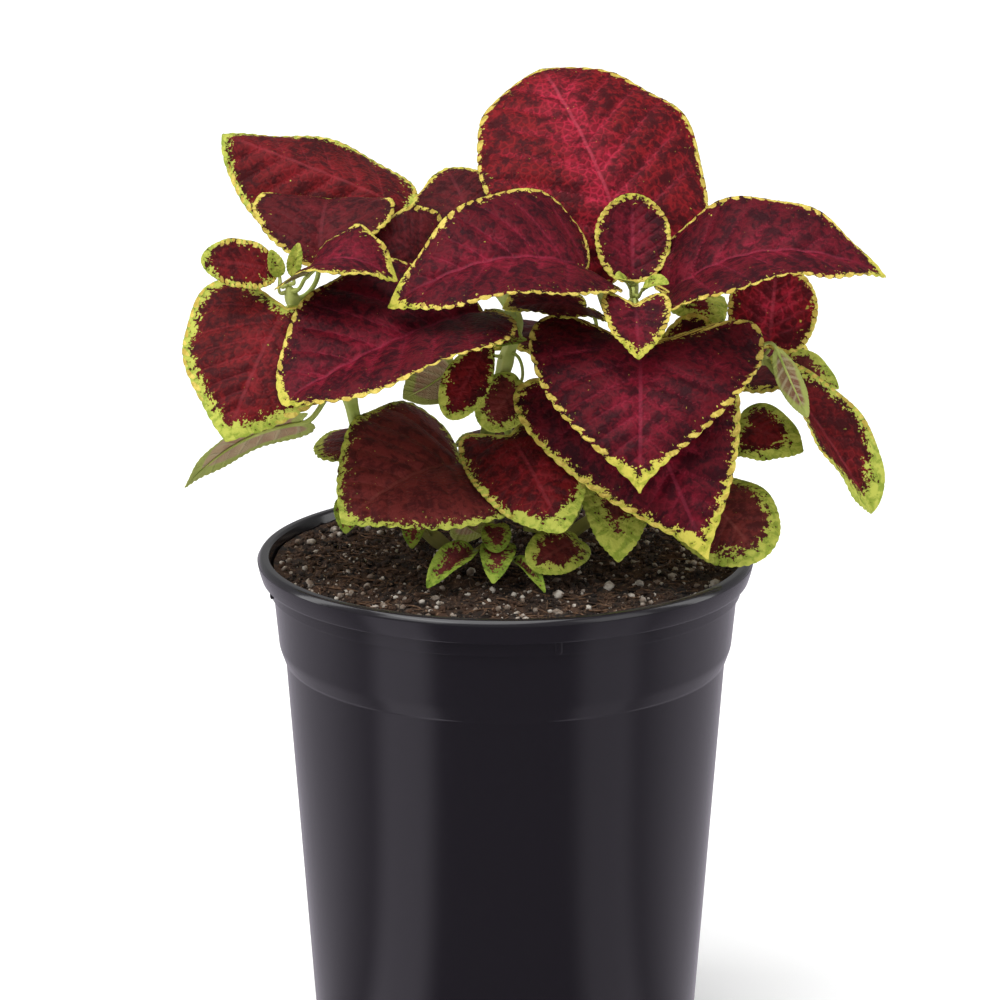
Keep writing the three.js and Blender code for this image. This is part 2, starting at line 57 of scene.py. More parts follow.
INNER_BASE_RADIUS = BASE_RADIUS - WALL + (BODY_TOP[0] - BASE_RADIUS) * FLOOR / BODY_TOP[1]
DRAIN_HOLES = 6
DRAIN_RADIUS = 5.5
DRAIN_CIRCLE = 46
BASE_SHARES = (0, 0.4, 0.8, 1)
RIBS = 4
RIB_SIZE = (2.4, 1.6, 4.8)
RIB_FOOT = 162.7
RIB_TURN = 0.21

# Outside from the base up, over the rim and down inside: radius, height and fillet in mm.
POT_PROFILE = np.array([
    (BASE_RADIUS - 1.5, 0, 0.3),
    (BASE_RADIUS, 1.5, 0.8),
    (BODY_TOP[0] - 0.1, BODY_TOP[1] - 0.8, 0.35),
    (BODY_TOP[0] + 0.35, BODY_TOP[1] - 0.35, 0.35),
    (BAND_FOOT[0] - 0.35, BAND_FOOT[1] - 1.3, 0.6),
    (BAND_FOOT[0], BAND_FOOT[1], 0.7),
    (BAND_RADIUS, SKIRT[2], 0.2),
    (SKIRT[1], SKIRT[2], 0.3),
    (SKIRT[0], RIM_FOOT, 0.25),
    (RIM_RADIUS - 1.6, RIM_FOOT, 0.7),
    (RIM_RADIUS - 0.3, RIM_FOOT + 4.2, 2.0),
    (RIM_RADIUS, POT_HEIGHT - 1.6, 1.0),
    (RIM_RADIUS - 1.2, POT_HEIGHT, 0.6),
    (RIM_RADIUS - 3.4, POT_HEIGHT, 0.3),
    (RIM_RADIUS - 4, POT_HEIGHT - 0.6, 0.3),
    (SKIRT[0] - WALL, POT_HEIGHT - 6, 0.8),
    (SKIRT[1] - WALL, SKIRT[2], 0.8),
    (BAND_RADIUS - WALL, SKIRT[2] - 2, 0.8),
    (BAND_FOOT[0] - WALL, BAND_FOOT[1], 0.8),
    (BODY_TOP[0] - WALL, BODY_TOP[1], 0.8),
    (INNER_BASE_RADIUS, FLOOR + 1.2, 0.8),
    (INNER_BASE_RADIUS - 1.2, FLOOR, 0.3),
])


def linear(code):
    """sRGB hex colour as linear RGBA: ((c + 0.055) / 1.055) ** 2.4 above 0.04045, c / 12.92 below."""
    c = np.array([int(code[i : i + 2], 16) for i in (1, 3, 5)]) / 255
    c = np.where(c > 0.04045, ((c + 0.055) / 1.055) ** 2.4, c / 12.92)
    return (*c.tolist(), 1.0)


def add(tree, kind, inputs=(), output=0, **settings):
    """Adds a shader node with its settings and inputs, and returns the output asked for.

    Inputs go by place or by name. Each is a value or another node's output; None leaves it be."""
    made = tree.nodes.new("ShaderNode" + kind)
    for key, value in settings.items():
        setattr(made, key, value)
    for key, value in inputs.items() if isinstance(inputs, dict) else enumerate(inputs):
        if isinstance(value, bpy.types.NodeSocket):
            tree.links.new(value, made.inputs[key])
        elif value is not None:
            made.inputs[key].default_value = value
    return made.outputs[output] if made.outputs else made


def new_material(name):
    """An empty node material and its tree."""
    made = bpy.data.materials.new(name)
    made.use_nodes = True
    made.node_tree.nodes.clear()
    return made, made.node_tree


def rounded(profile, steps=6):
    """Each inner corner gives way to the curve (1-s)^2 A + 2s(1-s) P + s^2 B, where A and B lie a
    fillet away from the corner P on its two edges. The first and last corners stay."""
    place, fillet = profile[1:-1, :2], profile[1:-1, 2:]
    before, after = profile[:-2, :2] - place, profile[2:, :2] - place
    start = place + before / np.linalg.norm(before, axis=1, keepdims=True) * fillet
    end = place + after / np.linalg.norm(after, axis=1, keepdims=True) * fillet
    s = np.linspace(0, 1, steps)[None, :, None]
    curve = (1 - s) ** 2 * start[:, None] + 2 * s * (1 - s) * place[:, None] + s**2 * end[:, None]
    return np.vstack([profile[:1, :2], curve.reshape(-1, 2), profile[-1:, :2]])


def ring_faces(rows, columns):
    """Quads between rows of points that each close on themselves."""
    i, j = np.meshgrid(np.arange(rows - 1), np.arange(columns), indexing="ij")
    k = (j + 1) % columns
    corners = (i * columns + j, i * columns + k, (i + 1) * columns + k, (i + 1) * columns + j)
    return np.stack(corners, -1).reshape(-1, 4)


def joined(*shells):
    """Several (points, faces) shells as one, with each shell's faces counted on."""
    starts = np.cumsum([0] + [len(points) for points, _ in shells])
    faces = [faces + start for (_, faces), start in zip(shells, starts)]
    return np.vstack([points for points, _ in shells]), np.vstack(faces)


def welded(points, faces, grain=1e-4):
    """Points that agree to a grain in mm become one."""
    _, first, place = np.unique(np.round(points / grain), axis=0, return_index=True, return_inverse=True)
    return points[first], place.reshape(-1)[faces]


def facing_out(points, faces):
    """Turns a closed shell's faces round if its volume, the sum of a . (b x c) / 6, is below zero."""
    a, b, c, d = (points[faces[:, i]] for i in range(4))
    volume = np.einsum("ij,ij", a, np.cross(b, c)) + np.einsum("ij,ij", a, np.cross(c, d))
    return points, faces if volume > 0 else faces[:, ::-1]


def closed(rings):
    """A grid of rings, rows x columns x 3, with a fan of triangles to a point at either end."""
    rows, columns = rings.shape[:2]
    points = np.vstack([rings.reshape(-1, 3), rings[0].mean(0), rings[-1].mean(0)])
    j = np.arange(columns)
    k = (j + 1) % columns
    first, last = rows * columns + 0 * j, rows * columns + 1 + 0 * j
    low = np.stack([k, j, first, first], -1)
    high = np.stack([j, k, last, last], -1) + np.array([1, 1, 0, 0]) * (rows - 1) * columns
    return facing_out(points, np.vstack([ring_faces(rows, columns), low, high]))


def make_piece(name, shell, materials, replaces=(), which=None, values=None, crease=180):
    """A mesh object in metres from a shell in mm. A face whose last two corners are the same is a
    triangle. which gives each face's material, values the named numbers of each point, and crease
    the angle from which an edge stays sharp."""
    points, faces = shell
    turned = faces[:, 0] == faces[:, 1]
    faces = np.where(turned[:, None], np.roll(faces, -1, 1), faces)
    keep = np.ones(faces.shape, bool)
    keep[:, 3] = (faces[:, 3] != faces[:, 2]) & (faces[:, 3] != faces[:, 0])
    mesh = bpy.data.meshes.new(name)
    mesh.vertices.add(len(points))
    mesh.vertices.foreach_set("co", (points * MM).astype(np.float32).ravel())
    mesh.loops.add(int(keep.sum()))
    mesh.loops.foreach_set("vertex_index", faces[keep].astype(np.int32))
    mesh.polygons.add(len(faces))
    mesh.polygons.foreach_set("loop_start", (np.cumsum(keep.sum(1)) - keep.sum(1)).astype(np.int32))
    for made in materials:
        mesh.materials.append(made)
    if which is not None:
        mesh.polygons.foreach_set("material_index", which.astype(np.int32))
    mesh.update(calc_edges=True)
    mesh.polygons.foreach_set("use_smooth", np.ones(len(faces), bool))
    mesh.set_sharp_from_angle(angle=math.radians(crease))
    for key, numbers in (values or {}).items():
        mesh.attributes.new(key, "FLOAT", "POINT").data.foreach_set("value", numbers.astype(np.float32))
    piece = bpy.data.objects.new(name, mesh)
    bpy.context.scene.collection.objects.link(piece)
    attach(piece, "root")
    if replaces:
        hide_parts(*replaces)


def pot_wall():
    """The profile turned about Z: x = r cos a, y = r sin a."""
    profile = rounded(POT_PROFILE)
    angle = np.arange(POT_COLUMNS) * 2 * np.pi / POT_COLUMNS
    x = profile[:, :1] * np.cos(angle)
    y = profile[:, :1] * np.sin(angle)
    z = np.broadcast_to(profile[:, 1:], x.shape)
    return np.stack([x, y, z], -1).reshape(-1, 3), ring_faces(len(profile), POT_COLUMNS)


def base_sector(turn):
    """One sixth of the base. A wedge's outline is drawn in to the round drain hole along straight
    lines, on the underside and on the inside, and the hole's wall joins the two."""
    half = np.pi / DRAIN_HOLES
    arc = np.linspace(-half, half, POT_COLUMNS // DRAIN_HOLES + 1)
    side = np.linspace(0, 1, 9)[:-1]
    rings = []
    centre = np.array([DRAIN_CIRCLE, 0.0])
    for radius, height, shares in (
        (POT_PROFILE[0, 0], 0.0, BASE_SHARES),
        (POT_PROFILE[-1, 0], FLOOR, BASE_SHARES[::-1]),
    ):
        out = side[:, None] * radius * np.array([np.cos(half), -np.sin(half)])
        back = side[::-1, None] * radius * np.array([np.cos(half), np.sin(half)])
        rim = radius * np.stack([np.cos(arc), np.sin(arc)], -1)
        outline = np.vstack([out, rim, back[:-1]])
        ray = outline - centre
        hole = centre + ray / np.linalg.norm(ray, axis=1, keepdims=True) * DRAIN_RADIUS
        rings += [np.c_[outline + (hole - outline) * s, np.full(len(outline), height)] for s in shares]
    points = np.stack(rings)
    cos, sin = np.cos(turn), np.sin(turn)
    x, y = points[..., 0] * cos - points[..., 1] * sin, points[..., 0] * sin + points[..., 1] * cos
    points = np.stack([x, y, points[..., 2]], -1)
    return points.reshape(-1, 3), ring_faces(len(rings), len(rings[0]))


def rib(turn):
    """A low upright with round edges on the skirt: a box grid pressed to |x|^5 + |y|^5 + |z|^5 = 1."""
    u = np.linspace(0, 2 * np.pi, 24, endpoint=False)
    v = np.linspace(-np.pi / 2, np.pi / 2, 19)[1:-1, None]
    power = 0.4

    def bent(value):
        return np.sign(value) * np.abs(value) ** power

    x, y, z = bent(np.cos(v)) * bent(np.cos(u)), bent(np.cos(v)) * bent(np.sin(u)), bent(np.sin(v)) + 0 * u
    height = RIB_FOOT + RIB_SIZE[2] / 2 * (1 + z)
    out = SKIRT[1] + RIB_SIZE[1] / 2 * y
    across = RIB_SIZE[0] / 2 * x
    cos, sin = np.cos(turn), np.sin(turn)
    return closed(np.stack([out * cos - across * sin, out * sin + across * cos, height], -1))


# Settings that many nodes share: a range eased at both ends, and a mix of two colours, whose
# inputs 0, 6 and 7 are the share of the second colour, the first colour and the second.
SMOOTH = {"interpolation_type": "SMOOTHSTEP"}
COLOURS = {"output": 2, "data_type": "RGBA"}

# Black polypropylene off a polished tool: near black with a cool cast and a clean soft gloss, a
# faint ripple in the wall every 25 mm and upright scuffs 11 mm apart from stacking. Dust is drawn
# in specks of 2.4 mm, coarser than it is, so that it shows. Coordinates are in metres, so every
# pattern's scale is 1000 over its size in mm.
pot_plastic, tree = new_material("black_polypropylene_moulded")
place = add(tree, "TexCoord", output="Object")
tall = add(tree, "Mapping", {"Vector": place, "Scale": (1, 1, 0.06)})
streaks = add(tree, "TexNoise", {"Vector": tall, "Scale": 90, "Detail": 4, "Roughness": 0.6})
dust = add(tree, "TexNoise", {"Vector": place, "Scale": 420, "Detail": 3, "Roughness": 0.65})
scuffed = add(tree, "MapRange", [dust, 0.62, 0.8, 0, 0.2], **SMOOTH)
colour = add(tree, "Mix", {0: scuffed, 6: linear("#19161c"), 7: linear("#302d32")}, **COLOURS)
gloss = add(tree, "MapRange", [streaks, 0.3, 0.7, 0.13, 0.19])
ripple = add(tree, "TexNoise", {"Vector": place, "Scale": 40, "Detail": 1})
bump = add(tree, "Bump", {"Height": ripple, "Strength": 0.05, "Distance": 0.0005})
shader = add(tree, "BsdfPrincipled", {"Base Color": colour, "Roughness": gloss, "IOR": 1.49, "Normal": bump})
add(tree, "OutputMaterial", [shader])

sectors = [base_sector(np.pi / 2 + i * 2 * np.pi / DRAIN_HOLES) for i in range(DRAIN_HOLES)]
pot = facing_out(*welded(*joined(pot_wall(), *sectors)))
ribs = [rib(-np.pi / 2 + RIB_TURN + i * 2 * np.pi / RIBS) for i in range(RIBS)]
make_piece("nursery_pot", joined(pot, *ribs), [pot_plastic], ["pot"], crease=35)

# ---------------------------------------------------------------- potting soil
# Peat mixed with white perlite, filled to a few millimetres under the rim. The surface is
# crumbly, with loose crumbs, popped perlite beads and shreds of fibre lying on it.
SOIL_TOP = 170.6
SOIL_RADIUS = 77.1
SOIL_RINGS = 104
SOIL_COLUMNS = 330
LATTICE = 256
SOIL_CALM_EDGE = 6
SOIL_EDGE_RISE = 1.2

# Height and width in mm of the swells, lumps, risen clods and grains of the surface.
SWELLS = (1, 17)
LUMPS = (0.9, 6.3)
CLODS = (0.7, 3.1)
GRAINS = (0.5, 1.5)
SOIL_SIDE = [(76.5, 168.6), (76.1, 162.4), (75, 160.4), (73.4, 144.6), (71.4, 139.9), (62.2, 3.0)]
CRUMBS = 5200
PERLITE = 1100
PERLITE_LUMPS = 46
FIBRES = 460
FIBRE_ROWS = 6
FIBRE_LENGTH = (3, 12)
FIBRE_BEND = 1.2
FIBRE_RADIUS = (0.12, 0.4)

# How far a lump's corners are pushed, how far it is stretched, and its greatest tilt in radians.
PUSHED = (0.72, 1.18)
STRETCHED = (0.75, 1.2)
TILTED = 0.8
ICOSAHEDRON = np.array([
    (0, 1, 1.618), (0, -1, 1.618), (0, 1, -1.618), (0, -1, -1.618),
    (1, 1.618, 0), (-1, 1.618, 0), (1, -1.618, 0), (-1, -1.618, 0),
    (1.618, 0, 1), (1.618, 0, -1), (-1.618, 0, 1), (-1.618, 0, -1),
]) / 1.902
ICOSAHEDRON_FACES = np.array([
    (0, 1, 8), (0, 8, 4), (0, 4, 5), (0, 5, 10), (0, 10, 1), (1, 6, 8), (8, 6, 9), (8, 9, 4), (4, 9, 2),
    (4, 2, 5), (5, 2, 11), (5, 11, 10), (10, 11, 7), (10, 7, 1), (1, 7, 6), (3, 9, 6), (3, 2, 9),
    (3, 11, 2), (3, 7, 11), (3, 6, 7),
])
random = np.random.default_rng(20)


def uneven(x, y, size, seed):
    """Random heights from -1 to 1 on a lattice of this size in mm, blended by 3s^2 - 2s^3."""
    table = np.random.default_rng(seed).uniform(-1, 1, (LATTICE, LATTICE))
    gx, gy = x / size + LATTICE / 2, y / size + LATTICE / 2
    i, j = np.floor(gx).astype(int), np.floor(gy).astype(int)
    u, v = gx - i, gy - j
    u, v = u * u * (3 - 2 * u), v * v * (3 - 2 * v)
    i, j = i % (LATTICE - 1), j % (LATTICE - 1)
    low = table[i, j] * (1 - u) + table[i + 1, j] * u
    high = table[i, j + 1] * (1 - u) + table[i + 1, j + 1] * u
    return low * (1 - v) + high * v


def soil_height(x, y):
    """Swells, lumps, clods and grains added up, flatter and a little raised next to the wall."""
    height = SWELLS[0] * uneven(x, y, SWELLS[1], 1) + LUMPS[0] * uneven(x, y, LUMPS[1], 2)
    height = height + CLODS[0] * np.abs(uneven(x, y, CLODS[1], 3))
    height = height + GRAINS[0] * uneven(x, y, GRAINS[1], 4)
    inside = np.clip((SOIL_RADIUS - np.hypot(x, y)) / SOIL_CALM_EDGE, 0, 1)
    return SOIL_TOP + height * (0.35 + 0.65 * inside) + SOIL_EDGE_RISE * (1 - inside) ** 2 - 0.3


def soil_body():
    """Rings of the crumbly top, then the side and the flat underside, each end closed by a point."""
    angle = np.arange(SOIL_COLUMNS) * 2 * np.pi / SOIL_COLUMNS
    radius = SOIL_RADIUS * np.linspace(0.012, 1, SOIL_RINGS)[:, None]
    x, y = radius * np.cos(angle), radius * np.sin(angle)
    top = np.stack([x, y, soil_height(x, y)], -1)
    side = np.array(SOIL_SIDE)
    down = np.stack([side[:, :1] * np.cos(angle), side[:, :1] * np.sin(angle), side[:, 1:] + 0 * angle], -1)
    return closed(np.vstack([top, down]))


def spots(count, reach=SOIL_RADIUS - 2):
    """Random places spread evenly over the soil: radius as the square root of a random share."""
    radius = reach * np.sqrt(random.uniform(0, 1, count))
    angle = random.uniform(0, 2 * np.pi, count)
    return radius * np.cos(angle), radius * np.sin(angle)


def crumbs(count, smallest, largest, squash):
    """Lumps from a twenty-faced ball: each corner pushed in or out at random, the ball stretched,
    turned about Z and sunk by a third into the soil."""
    x, y = spots(count)
    size = smallest + (largest - smallest) * random.power(0.45, count)
    shape = ICOSAHEDRON[None] * random.uniform(*PUSHED, (count, len(ICOSAHEDRON), 1))
    shape = shape * random.uniform(*STRETCHED, (count, 1, 3)) * np.array([1, 1, squash])
    turn = random.uniform(0, 2 * np.pi, (count, 1))
    tilt = random.uniform(-TILTED, TILTED, (count, 1))
    sx, sy, sz = shape[..., 0], shape[..., 1], shape[..., 2]
    sy, sz = sy * np.cos(tilt) - sz * np.sin(tilt), sy * np.sin(tilt) + sz * np.cos(tilt)
    px = sx * np.cos(turn) - sy * np.sin(turn)
    py = sx * np.sin(turn) + sy * np.cos(turn)
    half = size[:, None] / 2
    z = soil_height(x, y) + size * 0.17
    points = np.stack([x[:, None] + px * half, y[:, None] + py * half, z[:, None] + sz * half], -1)
    first = len(ICOSAHEDRON) * np.arange(count)[:, None, None]
    faces = (ICOSAHEDRON_FACES[None] + first).reshape(-1, 3)
    return points.reshape(-1, 3), np.c_[faces, faces[:, 2]]


def fibres(count):
    """Bent shreds: four-sided tubes along a random arc, 3 to 12 mm long, lying on the soil."""
    x, y = spots(count, SOIL_RADIUS - 7)
    length = random.uniform(*FIBRE_LENGTH, count)
    heading = random.uniform(0, 2 * np.pi, count)
    bend = random.uniform(-FIBRE_BEND, FIBRE_BEND, count)
    radius = random.uniform(*FIBRE_RADIUS, count)
    s = np.linspace(-0.5, 0.5, FIBRE_ROWS)[None]
    way = heading[:, None] + bend[:, None] * s
    px = x[:, None] + length[:, None] * s * np.cos(way)
    py = y[:, None] + length[:, None] * s * np.sin(way)
    slant = random.uniform(-0.15, 0.12, (count, 1))
    pz = soil_height(px, py).max(1, keepdims=True) + 0.1 + slant * length[:, None] * s
    quarter = np.arange(4) * np.pi / 2
    r = radius[:, None, None] * (1 - 0.6 * np.abs(2 * s[..., None]) ** 3)
    across = np.cos(quarter) * r
    points = np.stack([
        px[..., None] - across * np.sin(way)[..., None],
        py[..., None] + across * np.cos(way)[..., None],
        pz[..., None] + np.sin(quarter) * r,
    ], -1)
    corners = 4 * FIBRE_ROWS
    ends = np.array([(0, 1, 2, 3), (corners - 1, corners - 2, corners - 3, corners - 4)])
    faces = np.vstack([ring_faces(FIBRE_ROWS, 4), ends])[None] + corners * np.arange(count)[:, None, None]
    return points.reshape(-1, 3), faces.reshape(-1, 4)


# Damp sphagnum peat: nearly black in the hollows, warm brown on the crumbs, with no gloss. Its
# lumps are 6 mm across and its grains 1.1 mm.
peat, tree = new_material("sphagnum_peat_damp")
place = add(tree, "TexCoord", output="Object")
lumps = add(tree, "TexNoise", {"Vector": place, "Scale": 170, "Detail": 4, "Roughness": 0.6})
grains = add(tree, "TexNoise", {"Vector": place, "Scale": 900, "Detail": 3, "Roughness": 0.7})
brown = add(tree, "MapRange", [lumps, 0.35, 0.68, 0, 1], **SMOOTH)
light = add(tree, "MapRange", [grains, 0.57, 0.7, 0, 0.85], **SMOOTH)
colour = add(tree, "Mix", {0: brown, 6: linear("#150d08"), 7: linear("#4a3222")}, **COLOURS)
colour = add(tree, "Mix", {0: light, 6: colour, 7: linear("#92745a")}, **COLOURS)
bump = add(tree, "Bump", {"Height": grains, "Strength": 0.7, "Distance": 0.0006})
shader = add(tree, "BsdfPrincipled", {"Base Color": colour, "Roughness": 0.92, "Normal": bump})
add(tree, "OutputMaterial", [shader])

# Expanded perlite: chalky white popped glass with pits of 0.6 mm, stained by the peat in blots of
# 4 mm.
perlite, tree = new_material("perlite_expanded")
place = add(tree, "TexCoord", output="Object")
stains = add(tree, "TexNoise", {"Vector": place, "Scale": 260, "Detail": 3})
pits = add(tree, "TexVoronoi", {"Vector": place, "Scale": 1800})
stained = add(tree, "MapRange", [stains, 0.36, 0.6, 0, 0.9], **SMOOTH)
colour = add(tree, "Mix", {0: stained, 6: linear("#c8c0b4"), 7: linear("#6e5a4a")}, **COLOURS)
bump = add(tree, "Bump", {"Height": pits, "Strength": 0.4, "Distance": 0.0003})
shader = add(tree, "BsdfPrincipled", {"Base Color": colour, "Roughness": 0.85, "Normal": bump})
add(tree, "OutputMaterial", [shader])

# Shreds of bark and root: dry tan fibre with a dark grain, drawn 1.7 mm wide, coarser than it is,
# so that it shows.
fibre, tree = new_material("bark_fibre")
place = add(tree, "TexCoord", output="Object")
grain = add(tree, "TexNoise", {"Vector": place, "Scale": 600, "Detail": 3})
tan = add(tree, "MapRange", [grain, 0.35, 0.7, 0, 1])
colour = add(tree, "Mix", {0: tan, 6: linear("#2a1a12"), 7: linear("#7a5a40")}, **COLOURS)
bump = add(tree, "Bump", {"Height": grain, "Strength": 0.5, "Distance": 0.0002})
shader = add(tree, "BsdfPrincipled", {"Base Color": colour, "Roughness": 0.85, "Normal": bump})
add(tree, "OutputMaterial", [shader])

make_piece("peat_bed", soil_body(), [peat], ["soil"], crease=70)
make_piece("peat_crumbs", crumbs(CRUMBS, 0.6, 2.8, 0.8), [peat])
make_piece("perlite_beads", crumbs(PERLITE, 0.5, 2.6, 0.85), [perlite])
make_piece("perlite_lumps", crumbs(PERLITE_LUMPS, 2.6, 4.4, 0.8), [perlite])
make_piece("soil_fibres", fibres(FIBRES), [fibre])

# ---------------------------------------------------------------- stems
# Square green stems with blunt edges, as in every plant of the mint family, a little swollen
# where a pair of leaves leaves them. They are soft and juicy, so they shine slightly.
STEM_ROWS = 90
STEM_COLUMNS = 24
STEM_START = 171.3
STEM_SUNK = 4
STEM_UPRIGHT = 174
STEM_TAPER = (1.06, 0.14)
STEM_TIP = (0.96, 0.85, 0.6, 0.25)
STEM_FACING = (0.8, 0.6, 0.0)
STEM_POWER = 3.4
STEM_HOLLOW = 0.05
SWELLING_LENGTH = 0.022


def along_curve(points, detail=40):
    """Points on the centripetal Catmull-Rom curve through these: each span is a cubic whose end
    slopes come from its four points, spaced by the square root of their distance."""
    points = np.array(points, float)
    ends = 2 * points[0] - points[1], 2 * points[-1] - points[-2]
    p = np.vstack([ends[0], points, ends[1]])
    d = np.linalg.norm(np.diff(p, axis=0), axis=1)[:, None] ** 0.5
    a, b, c = d[:-2], d[1:-1], d[2:]
    before, start, end, after = p[:-3], p[1:-2], p[2:-1], p[3:]
    leave = ((start - before) / a - (end - before) / (a + b)) * b + (end - start)
    arrive = (end - start) + ((after - end) / c - (after - start) / (b + c)) * b
    t = np.linspace(0, 1, detail, endpoint=False)[None, :, None]
    spans = (
        (2 * t**3 - 3 * t**2 + 1) * start[:, None]
        + (t**3 - 2 * t**2 + t) * leave[:, None]
        + (3 * t**2 - 2 * t**3) * end[:, None]
        + (t**3 - t**2) * arrive[:, None]
    )
    return np.vstack([spans.reshape(-1, 3), points[-1:]])


def evenly(line, shares):
    """Points at these shares of a polyline's length."""
    run = np.r_[0, np.cumsum(np.linalg.norm(np.diff(line, axis=0), axis=1))]
    return np.stack([np.interp(shares * run[-1], run, line[:, i]) for i in range(3)], -1)


def unit(v):
    """Vectors over their own length."""
    return v / np.linalg.norm(v, axis=-1, keepdims=True)


def tube(line, across, radii, section):
    """A section carried along a line: line + (right x + up y) r, right being across made square
    to the line, and up square to both."""
    forward = unit(np.gradient(line, axis=0))
    right = unit(across - (across * forward).sum(-1, keepdims=True) * forward)
    up = np.cross(right, forward)
    offset = section[None, :, :1] * right[:, None] + section[None, :, 1:] * up[:, None]
    return closed(line[:, None] + offset * radii[:, None, None])


def blunt_square(columns):
    """|x|^p + |y|^p = 1, with its faces a little hollow."""
    angle = np.arange(columns) * 2 * np.pi / columns
    c, s = np.cos(angle), np.sin(angle)
    radius = (np.abs(c) ** STEM_POWER + np.abs(s) ** STEM_POWER) ** (-1 / STEM_POWER)
    return (radius * (1 - STEM_HOLLOW * np.cos(4 * angle)))[:, None] * np.stack([c, s], -1)


# Green coleus stem: waxy lime skin in two tones that change every 8 mm, and a brown blush towards
# the soil. Its hairs are drawn 0.6 mm apart, coarser than they are, so that they show.
green_stem, tree = new_material("coleus_stem_skin")
place = add(tree, "TexCoord", output="Object")
blotch = add(tree, "TexNoise", {"Vector": place, "Scale": 120, "Detail": 3})
hairs = add(tree, "TexNoise", {"Vector": place, "Scale": 1600, "Detail": 2})
height = add(tree, "SeparateXYZ", [place], output="Z")
low = add(tree, "MapRange", [height, 0.215, 0.172, 0, 0.6], **SMOOTH)
tone = add(tree, "MapRange", [blotch, 0.35, 0.68, 0, 1])
colour = add(tree, "Mix", {0: tone, 6: linear("#8f9d48"), 7: linear("#b3b86a")}, **COLOURS)
colour = add(tree, "Mix", {0: low, 6: colour, 7: linear("#7d6a3c")}, **COLOURS)
bump = add(tree, "Bump", {"Height": hairs, "Strength": 0.2, "Distance": 0.0002})
shader = add(
    tree, "BsdfPrincipled",
    {"Base Color": colour, "Roughness": 0.5, "IOR": 1.42, "Specular IOR Level": 0.3, "Normal": bump},
)
add(tree, "OutputMaterial", [shader])


def make_stem(name, radius, foot, points, nodes):
    """Upright out of the soil, then along its curve. The skin swells by a sixth where leaves
    leave it, as the sum of exp(-((share - node) / length)^2) / 6, and closes over its top."""
    curve = along_curve([(*foot, STEM_START), (*foot, STEM_UPRIGHT), *points])
    share = np.linspace(0, 1, STEM_ROWS)
    line = evenly(np.vstack([[(*foot, STEM_START - STEM_SUNK)], curve]), share)
    swell = np.exp(-(((share[:, None] - np.array(nodes)) / SWELLING_LENGTH) ** 2)).sum(1) / 6
    radii = radius * (STEM_TAPER[0] - STEM_TAPER[1] * share + swell)
    radii[-len(STEM_TIP) :] *= np.array(STEM_TIP)
    across = np.broadcast_to(STEM_FACING, line.shape)
    shell = tube(line, across, radii, blunt_square(STEM_COLUMNS))
    make_piece(name + "_skin", shell, [green_stem], [name])
    return {"curve": curve, "radius": radius}


main_stem = make_stem(
    "stem_main", 2.1, (12, -3), [(22, -6, 190), (34, -9, 225), (40, -10, 250), (41.5, -10, 263)],
    [0.14, 0.32, 0.6, 0.72, 0.8, 0.9],
)
middle_stem = make_stem(
    "stem_middle", 2, (-5, 1),
    [(-7, -1, 195), (-6, -3, 215), (0, -5, 240), (3, -4, 254), (-6, 4, 266), (-20, 12, 271)],
    [0.22, 0.36, 0.45, 0.6, 0.71, 0.84, 0.98],
)
left_stem = make_stem(
    "stem_left", 1.9, (-18, -2),
    [(-34, -5, 190), (-47, -8, 214), (-53, -11, 236), (-66, -12.5, 255), (-70, -13, 267)],
    [0.12, 0.3, 0.4, 0.63, 0.88, 0.96],
)
right_stem = make_stem(
    "stem_right", 1.8, (17, 6), [(36, 5, 190), (60, 2, 215), (74, 1, 230), (82, 1, 238)],
    [0.5, 0.8, 0.95],
)
sprout_stem = make_stem("stem_sprout", 1.2, (-4, -19), [(-4, -20, 178), (-3, -21, 188)], [0.6, 0.8])

# ---------------------------------------------------------------- leaves
# Coleus leaves, each a thin blade with its stalk. The blade is heart-shaped to lance-shaped, folded
# a little at the midrib, puffed between the veins and scalloped at the margin. The stalk grows from
# the stem to the blade, and on under it as the midrib.

# Outlines: the powers a and b of t^a (1 - t)^b, and how far the lobes at the base sweep back.
HEART = (0.5, 1.4, 0.62)
BLUNT_HEART = (0.5, 0.95, 0.5)
SMALL_HEART = (0.5, 1, 0.4)
BROAD = (0.5, 0.75, 0.5)
DOME = (0.5, 0.72, 0.08)
OVATE = (0.55, 0.95, 0.25)
ROUND = (0.55, 0.55, 0.2)
OVAL = (0.6, 0.62, 0.08)
SPOON = (0.85, 0.6, 0.02)
LANCE = (0.75, 0.9, 0.02)
TIP_HALF_WIDTH = 0.35
LOBE_SWELL = 0.6
LOBE_ROUNDING = 1.3
BEHIND_BASE = 3

# Width in mm that a leaf must pass, and then its rows and columns. The columns crowd towards the
# edges and the steps of the outline towards the base, where it turns fastest.
LEAF_GRIDS = [(50, 128, 49), (21, 92, 33), (0, 48, 17)]
EDGE_CROWDING = 0.38
OUTLINE_STEPS = 700
BASE_CROWDING = 1.6

# Sizes in mm for a blade of full width. Smaller blades have them in proportion.
FULL_WIDTH = 70
PUFF_HEIGHT = 0.75
PUFF_FROM_VEIN = 2.0
PUFF_FROM_EDGE = 4
GROOVE_DEPTH = 0.7
GROOVE_WIDTH = 1.4
WAVE_HEIGHT = 1.5
FRILL_HEIGHT = 0.3
BLADE_DROP = 0.35
BLADE_THICKNESS = 0.42
EDGE_THINNING = 0.75
TIP_SPREAD = (2.6, 3)

# Scallops: pitch in mm plus a share of the blade's width, depth as a share of the pitch, the share
# of the half width that stays smooth, and the power that rounds them.
SCALLOP_PITCH = (0.9, 0.055)
SCALLOP_DEPTH = 0.13
SMOOTH_PART = 0.6
SCALLOP_POWER = 2.2

